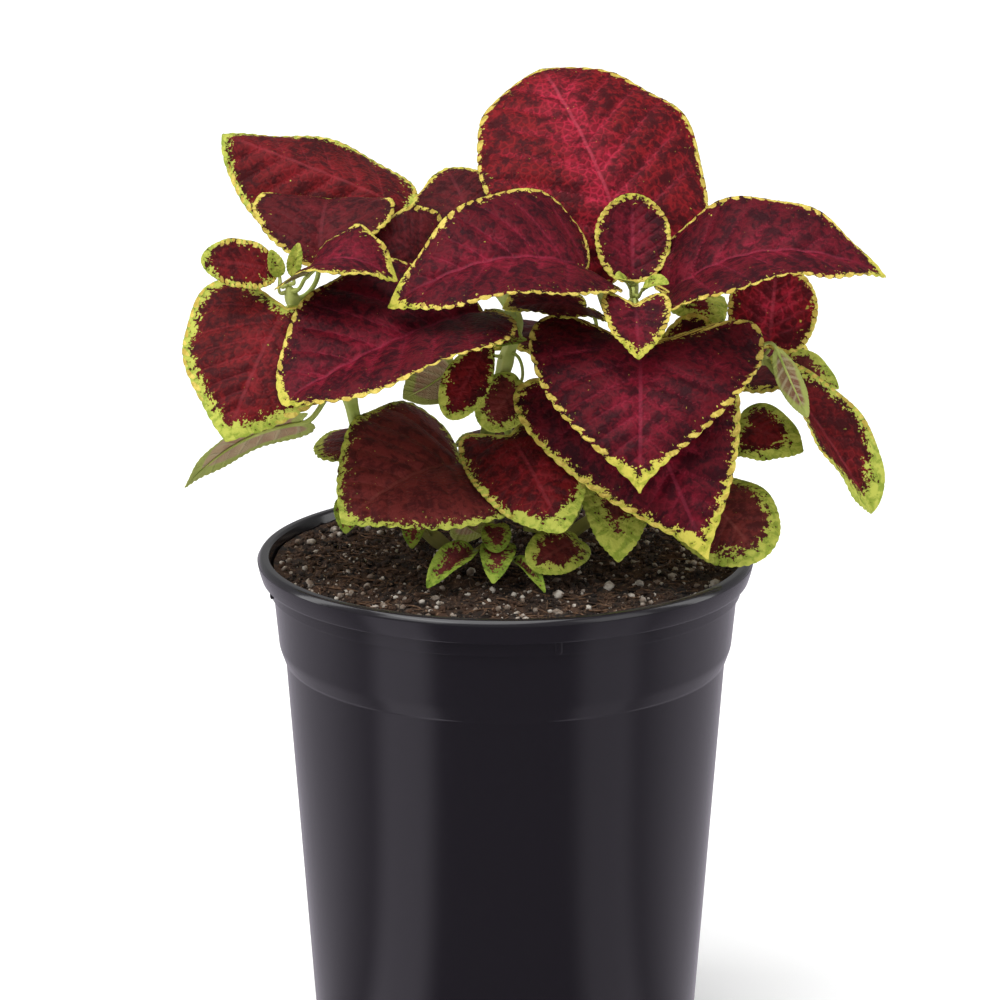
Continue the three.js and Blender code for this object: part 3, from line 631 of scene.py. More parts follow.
# Side veins: where each leaves the midrib, as a share of the length, how steeply, and its bend.
VEIN_STARTS = np.array([0.0, 0.03, 0.14, 0.26, 0.39, 0.52, 0.65, 0.78])
VEIN_SLOPES = np.array([-0.45, 0.12, 0.38, 0.52, 0.62, 0.72, 0.82, 0.95])
VEIN_BEND = 0.45
VEIN_COSINE = 0.82

# Stalk: radius as a share of the blade's length and its limits in mm, then its course.
STALK_SHARE = 0.02
STALK_LIMITS = (0.5, 1.3)
STALK_EASE = 0.35
STALK_ROWS = 16
STALK_SIDES = 10
STALK_FLARE = 0.4
STALK_FLAT = 0.18
NODE_CLEARANCE = 0.4
RIDGE_ROWS = 26
RIDGE_SPAN = (0.04, 0.93)
RIDGE_DEPTH = 1.05
RIDGE_LEAST = 0.08
leaf_random = np.random.default_rng(4)


def outline_at(leaf, along):
    """Half width w/2 t^a (1-t)^b over its peak, and how far the margin there is swept back:
    k (1-t)^2 sin(pi t^0.6)."""
    full, sharp, lobes = leaf["outline"]
    widest = full / (full + sharp)
    peak = widest**full * (1 - widest) ** sharp
    half = leaf["width"] / 2 * along**full * (1 - along) ** sharp / peak + TIP_HALF_WIDTH
    return half, lobes * (1 - along) ** 2 * np.sin(np.pi * along**LOBE_SWELL)


def distance_to(line, x, y):
    """Least distance from each point to a polyline: the part of the way to each segment that its
    clamped share along the segment leaves over."""
    start, step = line[:-1], np.diff(line, axis=0)
    px, py = x.ravel()[:, None] - start[:, 0], y.ravel()[:, None] - start[:, 1]
    share = (px * step[:, 0] + py * step[:, 1]) / np.maximum((step**2).sum(1), 1e-12)
    share = np.clip(share, 0, 1)
    gap = (px - share * step[:, 0]) ** 2 + (py - share * step[:, 1]) ** 2
    return np.sqrt(gap.min(1)).reshape(x.shape)


def midrib_at(leaf, a):
    """The midrib base + chord a + face arch 4a(1-a), and its forward, right and up directions.
    Behind the base the rise is 4a / (1 - 3a)."""
    base, chord, face = leaf["start"], leaf["chord"], leaf["face"]
    behind = np.minimum(a, 0)
    rise = np.where(a < 0, 4 * a / (1 - BEHIND_BASE * behind), 4 * a * (1 - a))
    slope = np.where(a < 0, 4 / (1 - BEHIND_BASE * behind) ** 2, 4 * (1 - 2 * a))
    middle = base + chord * a[..., None] + face * (leaf["arch"] * rise)[..., None]
    forward = unit(chord + face * (leaf["arch"] * slope)[..., None])
    right = unit(np.cross(forward, face))
    return middle, forward, right, np.cross(right, forward)


def blade(leaf, rows, columns):
    """The blade as two sheets joined at their edge, with what its skin needs at each point.

    Rows lie evenly along the margin, columns from edge to edge. In the flat leaf a margin point is
    moved out by the scallop depth times (1 - |2f - 1|^p) - 0.6, f being its share of one scallop.
    The flat point is then bent: each half leaves the midrib at its lift and curls on outwards."""
    length = np.linalg.norm(leaf["chord"])
    fine = np.linspace(0, 1, OUTLINE_STEPS) ** BASE_CROWDING
    half, back = outline_at(leaf, fine)
    run = np.r_[0, np.cumsum(np.hypot(np.diff(half), np.diff((fine - back) * length)))]
    row_run = np.linspace(0, run[-1], rows)
    along = np.interp(row_run, run, fine)[:, None]
    half, back = outline_at(leaf, along)

    u = np.linspace(-1, 1, columns)
    across = ((1 - EDGE_CROWDING) * u + EDGE_CROWDING * np.sin(u * np.pi / 2))[None]
    side, which_side = np.abs(across), np.sign(across)
    reach = half * (1 + leaf["lean"] * across * (2 * along - 1))
    x = across * reach
    y = (along - back * side**LOBE_ROUNDING) * length

    # Scallops, none at the very base and tip.
    pitch = SCALLOP_PITCH[0] + SCALLOP_PITCH[1] * leaf["width"]
    scallops = max(round(run[-1] / pitch), 2)
    first = leaf_random.integers(100, 900)
    tooth = first + row_run[:, None] / run[-1] * scallops + 0 * across
    bump = 1 - np.abs(2 * (tooth % 1) - 1) ** SCALLOP_POWER
    fade = np.clip(np.minimum(row_run, run[-1] - row_run) / (1.4 * pitch), 0, 1)[:, None]
    outer = np.clip((side - SMOOTH_PART) / (1 - SMOOTH_PART), 0, 1) ** 2
    depth = SCALLOP_DEPTH * pitch * fade * (bump - 0.6) * outer
    slope_x, slope_y = np.gradient(half[:, 0]), np.gradient(((along - back) * length)[:, 0])
    steep = np.hypot(slope_x, slope_y)
    x = x + which_side * (slope_y / steep)[:, None] * depth
    y = y - (slope_x / steep)[:, None] * depth

    # Distances to the margin, to the midrib and to the nearest side vein.
    margin_line = np.vstack([np.c_[x[:, 0], y[:, 0]][::-1], np.c_[x[:, -1], y[:, -1]]])
    edge = distance_to(margin_line, x, y)
    edge[:, [0, -1]] = 0
    rib = np.abs(x)
    above = y[..., None] - VEIN_STARTS * length - VEIN_SLOPES * rib[..., None]
    above = above - VEIN_BEND * rib[..., None] ** 2 / (length + leaf["width"])
    vein = np.abs(above).min(-1) * VEIN_COSINE

    # Puffed between the veins, sunk along the midrib, waved and frilled towards the edge.
    size = min(leaf["width"] / FULL_WIDTH, 1.0)
    puff = PUFF_HEIGHT * size * (1 - np.exp(-((vein / PUFF_FROM_VEIN) ** 2)))
    puff = puff * (1 - np.exp(-((edge / PUFF_FROM_EDGE) ** 2)))
    groove = GROOVE_DEPTH * size * np.exp(-((rib / GROOVE_WIDTH) ** 2)) * np.clip(4 * (1 - along), 0, 1)
    phase = leaf_random.uniform(0, 2 * np.pi, 2)
    turns = leaf_random.uniform(1.6, 3.2, 2)
    wave_left = np.sin(phase[0] + turns[0] * 2 * np.pi * along)
    wave_right = np.sin(phase[1] + turns[1] * 2 * np.pi * along)
    wave = np.where(across < 0, wave_left, wave_right) * np.clip(6 * (1 - along), 0, 1)
    wave = WAVE_HEIGHT * size * side**3 * wave
    frill = FRILL_HEIGHT * size * side**6 * np.cos(2 * np.pi * tooth)

    # Each half bent into place round the midrib.
    middle, _, right, up = midrib_at(leaf, y / length)
    lift = np.radians(np.where(across > 0, *leaf["lifts"]))
    curl = math.radians(leaf["curl"]) + 1e-6
    angle = lift + curl * rib / reach
    out = reach * (np.sin(angle) - np.sin(lift)) / curl
    raised = reach * (np.cos(lift) - np.cos(angle)) / curl
    normal = up * np.cos(angle)[..., None] - right * (which_side * np.sin(angle))[..., None]
    sheet = middle + right * (which_side * out)[..., None] + up * raised[..., None]
    sheet = sheet + normal * (puff - groove + wave + frill - BLADE_DROP * size)[..., None]
    thick = BLADE_THICKNESS * (1 - EDGE_THINNING * side**3) * (0.4 + 0.6 * size)
    top = sheet + normal * (thick / 2)[..., None]
    under = sheet - normal * (thick / 2)[..., None]

    # One closed skin: the upper side, the underside, and a cap at the base and at the tip.
    rings = np.concatenate([top, under[:, ::-1]], 1)
    faces = ring_faces(rows, 2 * columns)
    ring = np.arange(2 * columns - 1)
    which = np.tile(np.r_[np.where(ring < columns, 0, 1), 0], rows - 1)
    j = np.arange(columns - 1)
    cap = np.stack([j + 1, j, 2 * columns - 1 - j, 2 * columns - 2 - j], -1)
    end = cap[:, ::-1] + (rows - 1) * 2 * columns
    which = np.r_[which, np.zeros(2 * len(cap), int)]

    # The lime band widens at the tip, and the beads end there.
    margin, tip_band, beads = leaf["edging"]
    from_tip = run[-1] - row_run[:, None] + 0 * across
    tip_share = np.exp(-((from_tip / (TIP_SPREAD[0] * tip_band + TIP_SPREAD[1])) ** 4))
    band = margin + (tip_band - margin) * tip_share
    beads = beads * (1 - np.clip(tip_share * 2.2, 0, 1))
    beads = beads * np.clip(row_run[:, None] / pitch - 0.5, 0, 1)
    values = {"edge": edge, "tooth": tooth, "rib": rib, "vein": vein, "margin": band, "bead": beads}
    values = {k: np.concatenate([v, v[:, ::-1]], 1).ravel() for k, v in values.items()}
    return facing_out(rings.reshape(-1, 3), np.vstack([faces, cap, end])), which, values


def stalk(leaf):
    """From inside the stem square out of it, by a cubic curve to the base of the blade, then
    behind the blade as a ridge that thins to the tip. Behind is away from both halves: the sum of
    their normals, (cos a + cos b) up + (sin b - sin a) right, turned round."""
    curve, place = leaf["stem"]["curve"], leaf["place"]
    node, ahead, behind = evenly(curve, np.array([place, min(place + 0.01, 1), max(place - 0.01, 0)]))
    axis = unit(ahead - behind)
    base = leaf["start"]
    out = base - node
    out = unit(out - out @ axis * axis)
    start = node + out * (leaf["stem"]["radius"] * 1.1 + NODE_CLEARANCE)
    length = np.linalg.norm(leaf["chord"])
    radius = np.clip(length * STALK_SHARE, *STALK_LIMITS)
    run = unit(leaf["chord"] + 4 * leaf["arch"] * leaf["face"])
    ease = np.linalg.norm(start - base) * STALK_EASE
    t = np.linspace(0, 1, STALK_ROWS)[:, None]
    bow = (
        (1 - t) ** 3 * start
        + 3 * t * (1 - t) ** 2 * (start + out * ease)
        + 3 * t**2 * (1 - t) * (base - run * ease)
        + t**3 * base
    )
    a = np.linspace(*RIDGE_SPAN, RIDGE_ROWS)
    middle, _, right, up = midrib_at(leaf, a)
    size = min(leaf["width"] / FULL_WIDTH, 1.0)
    thin = radius * (1 - a) ** 0.8 * 0.8 + RIDGE_LEAST
    sunk = RIDGE_DEPTH * size * np.clip(4 * (1 - a), 0, 1) + 0.1 + 0.8 * thin
    one, other = (math.radians(angle) for angle in leaf["lifts"])
    above = unit(up * (math.cos(one) + math.cos(other)) + right * (math.sin(other) - math.sin(one)))
    sunk = sunk / math.cos((one + other) / 2)
    ridge = middle - above * sunk[:, None]
    bow = bow - above[0] * sunk[0] * t**2
    inner = node + out * leaf["stem"]["radius"] * 0.3
    line = np.vstack([inner, bow, ridge])
    # The stalk flares where it leaves the stem, and is a little flatter on top.
    radii = np.r_[radius * 1.5, radius * (1.1 + STALK_FLARE * np.exp(-t[:, 0] * 14)), thin]
    circle = np.arange(STALK_SIDES) * 2 * np.pi / STALK_SIDES
    section = np.stack([np.cos(circle), np.sin(circle) * (1 - STALK_FLAT * (np.sin(circle) > 0))], -1)
    across = np.broadcast_to(right[0], line.shape)
    return tube(line, across, radii, section)


# Coleus leaf, upper side: velvety tissue with a dull soft gloss, mottled in two reds, in patches of
# 8 mm broken up into spots of 3 mm. It glows pinker along the midrib and its side veins, and is dark
# in the 2.4 mm fields between the finest veins. The margin has no red pigment: a chain of yellow
# beads, one to each scallop, or a ragged lime band that widens towards the tip. The grain of the
# velvet is drawn 0.9 mm wide, coarser than it is, so that it shows.
def leaf_skin(name, dark, flesh, glow, line, warmth, mesh, flecks, lime_colours):
    """warmth is the strength of the pink glow, mesh how dark the fields between the finest veins
    are, and flecks how many lime spots there are."""
    made, tree = new_material(name)
    place = add(tree, "TexCoord", output="Object")
    edge, tooth, rib, vein, band, bead = (
        add(tree, "Attribute", output="Fac", attribute_name=key)
        for key in ("edge", "tooth", "rib", "vein", "margin", "bead")
    )
    patches = add(tree, "TexNoise", {"Vector": place, "Scale": 120, "Detail": 4, "Distortion": 0.4})
    mottle = add(
        tree, "TexNoise",
        {"Vector": place, "Scale": 360, "Detail": 4, "Roughness": 0.62, "Distortion": 0.5},
    )
    speckle = add(tree, "TexNoise", {"Vector": place, "Scale": 1100, "Detail": 3, "Roughness": 0.6})
    cells = add(tree, "TexVoronoi", {"Vector": place, "Scale": 420}, feature="DISTANCE_TO_EDGE")

    # The two reds.
    red = add(tree, "Math", [mottle, 0.62], operation="MULTIPLY")
    red = add(tree, "Math", [patches, 0.38, red], operation="MULTIPLY_ADD")
    red = add(tree, "MapRange", [red, 0.42, 0.56, 0, 1], **SMOOTH)
    colour = add(tree, "Mix", {0: red, 6: linear(dark), 7: linear(flesh)}, **COLOURS)

    # Pink glow along the midrib and the side veins, broken up by the mottling.
    inside = add(tree, "MapRange", [edge, 2.0, 14.0, 0.1, 1])
    by_rib = add(tree, "MapRange", [rib, 0.0, 15.0, 0.75, 0], **SMOOTH)
    by_vein = add(tree, "MapRange", [vein, 0.2, 2.6, 0.4, 0], **SMOOTH)
    pink = add(tree, "Math", [by_rib, by_vein], operation="ADD")
    broken = add(tree, "MapRange", [patches, 0.38, 0.6, 0.25, 1.1])
    pink = add(tree, "Math", [pink, broken], operation="MULTIPLY")
    broken = add(tree, "MapRange", [mottle, 0.38, 0.58, 0.3, 1.2])
    pink = add(tree, "Math", [pink, broken], operation="MULTIPLY")
    pink = add(tree, "Math", [pink, inside], operation="MULTIPLY")
    pink = add(tree, "Math", [pink, warmth], operation="MULTIPLY", use_clamp=True)
    colour = add(tree, "Mix", {0: pink, 6: colour, 7: linear(glow)}, **COLOURS)

    # Dark fields between the finest veins.
    islands = add(tree, "MapRange", [cells, 0.02, 0.2, 0, 1], **SMOOTH)
    islands = add(tree, "Math", [islands, mottle], operation="MULTIPLY")
    islands = add(tree, "Math", [islands, mesh], operation="MULTIPLY")
    colour = add(tree, "Mix", {0: islands, 6: colour, 7: linear(dark)}, **COLOURS)

    # The veins themselves, as thin pale lines.
    lines = add(tree, "MapRange", [rib, 0.2, 0.9, 0.6, 0], **SMOOTH)
    thin = add(tree, "MapRange", [vein, 0.1, 0.55, 0.35, 0], **SMOOTH)
    lines = add(tree, "Math", [lines, thin], operation="MAXIMUM")
    lines = add(tree, "Math", [lines, inside], operation="MULTIPLY")
    broken = add(tree, "MapRange", [speckle, 0.3, 0.6, 0.5, 1])
    lines = add(tree, "Math", [lines, broken], operation="MULTIPLY")
    colour = add(tree, "Mix", {0: lines, 6: colour, 7: linear(line)}, **COLOURS)

    # Lime band at the margin, its inner border ragged, and lime flecks.
    ragged = add(tree, "Math", [mottle, -0.5], operation="ADD")
    fine = add(tree, "Math", [speckle, -0.5], operation="ADD")
    reach = add(tree, "Math", [band, 0.4, 1.2], operation="MULTIPLY_ADD")
    stray = add(tree, "Math", [fine, 0.8, ragged], operation="MULTIPLY_ADD")
    stray = add(tree, "Math", [stray, reach], operation="MULTIPLY")
    rim = add(tree, "Math", [band, edge], operation="SUBTRACT")
    rim = add(tree, "Math", [stray, 5.5, rim], operation="MULTIPLY_ADD")
    lime_part = add(tree, "MapRange", [rim, -0.15, 0.25, 0, 1], **SMOOTH)
    limit = add(tree, "MapRange", [edge, 0.6, 7.0, 0.62, 0.76])
    dots = add(tree, "TexNoise", {"Vector": place, "Scale": 820, "Detail": 2})
    dots = add(tree, "Math", [dots, limit], operation="SUBTRACT")
    dots = add(tree, "MapRange", [dots, -flecks, 0.04 - flecks, 0, 0.8], **SMOOTH)
    lime_part = add(tree, "Math", [lime_part, dots], operation="MAXIMUM")

    # Beads: |along / reach|^2.6 + (in from the edge / half - 0.85)^2 < 1, sized at random.
    number = add(tree, "Math", [tooth], operation="FLOOR")
    chance = add(tree, "TexWhiteNoise", {"W": number}, noise_dimensions="1D")
    other = add(tree, "Math", [number, 0.37], operation="ADD")
    other = add(tree, "TexWhiteNoise", {"W": other}, noise_dimensions="1D")
    bead_reach = add(tree, "MapRange", [chance, 0, 1, 0.5, 0.98])
    bead_half = add(tree, "MapRange", [other, 0, 1, 0.5, 1.15])
    part = add(tree, "Math", [tooth], operation="FRACT")
    part = add(tree, "Math", [part, 2.0, -1.0], operation="MULTIPLY_ADD")
    part = add(tree, "Math", [part], operation="ABSOLUTE")
    part = add(tree, "Math", [ragged, 1.2, part], operation="MULTIPLY_ADD")
    long_way = add(tree, "Math", [part, bead_reach], operation="DIVIDE")
    long_way = add(tree, "Math", [long_way], operation="ABSOLUTE")
    long_way = add(tree, "Math", [long_way, 2.6], operation="POWER")
    short_way = add(tree, "Math", [fine, 1.6, edge], operation="MULTIPLY_ADD")
    short_way = add(tree, "Math", [short_way, bead_half], operation="DIVIDE")
    short_way = add(tree, "Math", [short_way, -0.85], operation="ADD")
    short_way = add(tree, "Math", [short_way, 2.0], operation="POWER")
    shape = add(tree, "Math", [long_way, short_way], operation="ADD")
    shape = add(tree, "MapRange", [shape, 0.75, 1.15, 1, 0], **SMOOTH)
    shape = add(tree, "Math", [shape, bead], operation="MULTIPLY")

    # Lime and yellow over the red.
    tone = add(tree, "MapRange", [mottle, 0.4, 0.6, 0, 1], **SMOOTH)
    low, high = (linear(code) for code in lime_colours)
    lime = add(tree, "Mix", {0: tone, 6: low, 7: high}, **COLOURS)
    yellow = add(tree, "Mix", {0: tone, 6: linear("#b8a046"), 7: linear("#d8c462")}, **COLOURS)
    colour = add(tree, "Mix", {0: lime_part, 6: colour, 7: lime}, **COLOURS)
    colour = add(tree, "Mix", {0: shape, 6: colour, 7: yellow}, **COLOURS)

    # Sunken veins, quilting and the fine grain of the velvet.
    relief = add(tree, "MapRange", [vein, 0.0, 0.9, 0, 1], **SMOOTH)
    quilted = add(tree, "MapRange", [cells, 0.0, 0.25, 0, 0.5], **SMOOTH)
    relief = add(tree, "Math", [relief, quilted], operation="ADD")
    relief = add(tree, "Math", [speckle, 0.5, relief], operation="MULTIPLY_ADD")
    bump = add(tree, "Bump", {"Height": relief, "Strength": 0.45, "Distance": 0.0004})
    gloss = add(tree, "MapRange", [speckle, 0.35, 0.65, 0.46, 0.6])
    shader = add(
        tree, "BsdfPrincipled",
        {"Base Color": colour, "Roughness": gloss, "IOR": 1.4, "Specular IOR Level": 0.13, "Normal": bump},
    )
    add(tree, "OutputMaterial", [shader])
    return made


# Coleus leaf, underside: matt, pale buff to olive with a dull wine blush in patches of 9 mm, its
# 2.4 mm net of raised veins lighter than the tissue, and the same lime margin.
def leaf_back(name, tissue, blush):
    """The colours of the tissue and of the blush are given, the rest is the same on every leaf."""
    made, tree = new_material(name)
    place = add(tree, "TexCoord", output="Object")
    edge, vein, band = (
        add(tree, "Attribute", output="Fac", attribute_name=key) for key in ("edge", "vein", "margin")
    )
    patches = add(tree, "TexNoise", {"Vector": place, "Scale": 110, "Detail": 3})
    cells = add(tree, "TexVoronoi", {"Vector": place, "Scale": 420}, feature="DISTANCE_TO_EDGE")
    blushed = add(tree, "MapRange", [patches, 0.38, 0.66, 0, 1], **SMOOTH)
    colour = add(tree, "Mix", {0: blushed, 6: linear(tissue), 7: linear(blush)}, **COLOURS)
    netting = add(tree, "MapRange", [cells, 0.0, 0.08, 0.3, 0], **SMOOTH)
    lines = add(tree, "MapRange", [vein, 0.2, 0.7, 0.7, 0], **SMOOTH)
    lines = add(tree, "Math", [lines, netting], operation="MAXIMUM")
    colour = add(tree, "Mix", {0: lines, 6: colour, 7: linear("#b3a884")}, **COLOURS)
    ragged = add(tree, "Math", [patches, -0.5], operation="ADD")
    rim = add(tree, "Math", [band, edge], operation="SUBTRACT")
    rim = add(tree, "Math", [ragged, 4.0, rim], operation="MULTIPLY_ADD")
    lime_part = add(tree, "MapRange", [rim, -0.9, 0.3, 0, 1], **SMOOTH)
    colour = add(tree, "Mix", {0: lime_part, 6: colour, 7: linear("#a3ab5c")}, **COLOURS)
    relief = add(tree, "MapRange", [vein, 0.0, 0.8, 1, 0], **SMOOTH)
    relief = add(tree, "Math", [netting, 1.5, relief], operation="MULTIPLY_ADD")
    bump = add(tree, "Bump", {"Height": relief, "Strength": 0.6, "Distance": 0.0004})
    shader = add(
        tree, "BsdfPrincipled",
        {"Base Color": colour, "Roughness": 0.7, "IOR": 1.4, "Specular IOR Level": 0.25, "Normal": bump},
    )
    add(tree, "OutputMaterial", [shader])
    return made


YELLOW_LIME = ("#9da038", "#c8be52")
GREEN_LIME = ("#8a9a38", "#b6bb52")
YOUNG_LIME = ("#708c2e", "#a0b448")

# Each look of the upper side: dark, flesh, glow, vein line, warmth, mesh, flecks and lime.
LOOKS = {
    "crown": ("#300610", "#5a0e1a", "#881a30", "#942e44", 0.8, 0.6, 0.0, YELLOW_LIME),
    # The bright look: a redder, lighter copy of the leaf. Its redder hue is the leaf's own; its extra
    # lightness is painted light, standing in for direct light and light shining through the blade.
    "bright": ("#40080f", "#7e141b", "#b2263f", "#ba4254", 1.0, 1.0, 0.01, YELLOW_LIME),
    "outer": ("#3a0a0e", "#661416", "#861c25", "#8c2e36", 0.7, 0.7, 0.015, GREEN_LIME),
    # The shaded look: a darker, duller copy of the leaf for blades that lie in shade, painted shade over the
    # shade the lamps cast.
    "painted_shade": ("#340b10", "#56161a", "#701d26", "#782c34", 0.6, 0.4, 0.0, YELLOW_LIME),
    "aged": ("#48191a", "#6a2826", "#7a302c", "#8a4640", 0.5, 0.2, 0.02, GREEN_LIME),
    "young": ("#5a2226", "#783232", "#863a3c", "#8c5448", 0.4, 0.1, 0.02, YOUNG_LIME),
}
SKINS = {look: leaf_skin("coleus_leaf_" + look, *given) for look, given in LOOKS.items()}
DARK_BACKED = ("crown", "painted_shade")
LEAF_BACK = leaf_back("coleus_leaf_underside", "#8a7650", "#7e5444")
PALE_BACK = leaf_back("coleus_leaf_underside_pale", "#b49c7c", "#a07a64")


def add_leaf(stem, name, place, base, tip, width, faces, look, edging, arch=4, lifts=(0, 0), lean=0,
             curl=-10, outline=OVATE, slot="crimson_leaf"):
    """One leaf in place of its CAD node. Lengths in mm, angles in degrees.

    place is the share of the stem's curve where the stalk leaves it, base and tip are the ends of
    the blade, and faces is the way its upper side looks. edging is the lime margin's width at the
    sides and at the tip and the strength of the beads, lifts the angle of its right and left half."""
    base, chord = np.array(base, float), np.array(tip, float) - np.array(base, float)
    face = np.array(faces, float)
    face = unit(face - chord * (face @ chord) / (chord @ chord))
    leaf = {
        "stem": stem, "place": place, "start": base, "chord": chord, "face": face, "width": width,
        "edging": edging, "arch": arch, "lifts": lifts, "lean": lean, "curl": curl, "outline": outline,
    }
    rows, columns = next(grid for least, *grid in LEAF_GRIDS if width > least)
    sheets, which, values = blade(leaf, rows, columns)
    ridge = stalk(leaf)
    which = np.r_[which, np.full(len(ridge[1]), 2)]
    values = {key: np.r_[numbers, np.zeros(len(ridge[0]))] for key, numbers in values.items()}
    skins = [SKINS[look], LEAF_BACK if look in DARK_BACKED else PALE_BACK, green_stem]
    make_piece(name + "_blade", joined(sheets, ridge), skins, [name], which, values)


# The folded blades at a growing tip are all alike.
BUD = {"arch": 1, "lifts": (20, 20), "curl": 0, "outline": LANCE, "slot": "young_leaf"}

# Main stem: the tallest crown. Opposite pairs of blades, each pair turned a quarter from the one
# below, from the broad low leaves over the soil to the two small blades round the growing tip.
# Every stalk leaves the stem at its own swelling.
add_leaf(
    main_stem, "main_leaf_young_back", 0.98, (41.5, -1, 265.3), (41.5, 14, 292.3), 25, (0, -1, 0.35),
    "crown", (0.9, 1.6, 1), arch=-1, lifts=(14, 14), curl=0, outline=OVAL,
)
add_leaf(
    main_stem, "main_leaf_young_front", 0.98, (41, -29.5, 264.1), (41.5, -46.5, 249.6), 22, (0, -0.7, 1),
    "crown", (1.0, 2.6, 1), arch=1, lifts=(20, 16), curl=-8, outline=SMALL_HEART,
)
add_leaf(
    main_stem, "main_leaf_left", 0.9, (27, -12, 272), (-37, -36, 264), 54, (0, -0.55, 0.84), "crown",
    (0.2, 3, 1), arch=12, lifts=(16, 22), lean=-0.25, curl=-14,
)
add_leaf(
    main_stem, "main_leaf_right", 0.9, (51, -8, 262.5), (121.5, -18, 270.5), 52, (0, -0.5, 0.87), "crown",
    (0.2, 2.5, 1), arch=15, lifts=(24, 14), curl=-14,
)
add_leaf(
    main_stem, "main_leaf_back", 0.8, (42, 11, 268.6), (12, 62, 327.5), 75, (0.1, -0.8, 0.6), "bright",
    (0.3, 1.2, 1), arch=10, curl=-15, outline=ROUND,
)
add_leaf(
    main_stem, "main_leaf_front", 0.8, (42.7, -28, 250.5), (41.5, -64, 211), 75, (0, -0.75, 0.7), "crown",
    (0, 4.2, 1), arch=5, lifts=(8, 2), lean=0.16, curl=-17, outline=HEART,
)
add_leaf(
    main_stem, "main_leaf_low_left", 0.72, (26.5, -4, 258), (-1, -17.5, 260), 31, (0, -0.4, 0.9), "painted_shade",
    (0.8, 2, 0), arch=2, lifts=(0, 19),
)
add_leaf(
    main_stem, "main_leaf_low_right", 0.72, (57.5, 2, 253.5), (72.3, 12, 258), 22.5, (0, -0.6, 0.8),
    "outer", (3.0, 7, 0), arch=3,
)
add_leaf(
    main_stem, "main_leaf_low_front", 0.6, (40, -24.5, 237.5), (63.5, -58, 187.5), 70, (-0.1, -0.8, 0.6),
    "crown", (1.6, 4.5, 1), lifts=(0, 4), lean=-0.12, curl=-14, outline=HEART,
)
add_leaf(
    main_stem, "main_leaf_low_back", 0.6, (38.5, 8, 239.6), (34, 64, 221.5), 58, (0, 0.5, 0.9), "painted_shade",
    (1.8, 4, 1), arch=6, curl=-14, outline=SMALL_HEART,
)
add_leaf(
    main_stem, "main_leaf_foot_front", 0.32, (36, -18, 203), (36, -42, 182.5), 24, (0, -0.9, 0.5), "aged",
    (5.5, 9, 0), arch=1, lifts=(20, 20), curl=0,
)
add_leaf(
    main_stem, "main_leaf_foot_back", 0.3, (26, 4, 198), (32, 44, 186), 30, (0, 0.5, 0.85), "aged",
    (3, 5, 0),
)
add_leaf(
    main_stem, "main_leaf_foot_left", 0.14, (24, -24, 185), (8, -42, 180.5), 17, (0, -0.75, 0.65), "aged",
    (3, 3.4, 0), arch=2, curl=-6, outline=ROUND,
)
add_leaf(
    main_stem, "main_leaf_foot_turned", 0.2, (21, -12, 194.5), (6, -22, 187.5), 13, (0, 0.6, -0.7),
    "aged", (2, 3, 0), arch=1, slot="leaf_underside",
)
add_leaf(
    main_stem, "main_bud_left", 1, (40.3, -14, 266.5), (35, -21, 270.5), 6.5, (0, -0.5, 0.9), "aged",
    (4, 4, 0), **BUD,
)
add_leaf(
    main_stem, "main_bud_right", 1, (43.8, -14.5, 266), (52, -20, 268.5), 7, (0, -0.5, 0.9), "aged",
    (4, 4, 0), **BUD,
)

# Middle stem: leans left behind the main one and fills the space between the two crowns. Its low
# leaves hang over the front of the soil. The leaves in shade are painted duller and darker, as painted
# shade, and the low ones are browner.
add_leaf(
    middle_stem, "middle_leaf_top_left", 0.99, (-31.3, 24, 285.5), (-95, 42, 308), 54, (0, -0.93, 0.35),
    "outer", (2.0, 3.6, 1), lifts=(-54, 0), curl=-3, outline=DOME,
)
add_leaf(
    middle_stem, "middle_leaf_top_back", 0.89, (-10.5, 38, 276.5), (-20.7, 66, 293), 36, (0, -0.8, 0.6),
    "painted_shade", (1, 2, 1),
)
add_leaf(
    middle_stem, "middle_leaf_top_inner", 0.97, (-26.5, 6.5, 270.5), (-45, 8.5, 281.5), 36,
    (0, -0.7, 0.7), "painted_shade", (0.6, 1.6, 1),
)
add_leaf(
    middle_stem, "middle_leaf_top_right", 0.84, (0, 14, 260.5), (24, 37, 254), 28, (0, -0.1, 1), "painted_shade",
    (1, 2, 1), arch=5, curl=-12,
)
add_leaf(
    middle_stem, "middle_leaf_left", 0.72, (-7, -19, 260), (-69.5, -56, 237.5), 68, (0, -0.55, 0.83),
    "crown", (0.3, 3, 1), arch=5, lifts=(10, 34), curl=-14, outline=DOME,
)
add_leaf(
    middle_stem, "middle_leaf_small", 0.68, (5, -9.5, 249.5), (-3.2, -16, 247.5), 6, (0, -0.8, 0.6),
    "young", (1.2, 2, 0), arch=1, lifts=(20, 20), curl=0, slot="young_leaf",
)
add_leaf(
    middle_stem, "middle_leaf_hanging", 0.67, (-5, -12, 249), (-18, -28, 226), 15, (-0.3, -0.9, 0.3),
    "outer", (1.2, 3, 0), arch=2, lifts=(10, -10), outline=SPOON,
)
add_leaf(
    middle_stem, "middle_leaf_back", 0.66, (0, 12, 242), (-4, 66, 236), 46, (0, 0.3, 0.95), "painted_shade",
    (1.6, 3, 1), arch=6, curl=-14,
)
add_leaf(
    middle_stem, "middle_leaf_round", 0.62, (5, -10, 234.5), (-7, -22, 221.5), 17, (0, -0.9, 0.4), "aged",
    (2.2, 3, 0), arch=2, lifts=(6, 6), outline=ROUND,
)
add_leaf(
    middle_stem, "middle_leaf_turned", 0.6, (-16, -12, 240), (-33, -20, 231), 20, (0, 0.6, -0.7), "aged",
    (2, 3, 0), arch=2, slot="leaf_underside",
)
add_leaf(
    middle_stem, "middle_leaf_low_right", 0.45, (1, -14, 218), (18, -50, 194.5), 37, (0, -0.8, 0.6),
    "outer", (1.5, 5.5, 1), curl=-14, outline=BROAD,
)
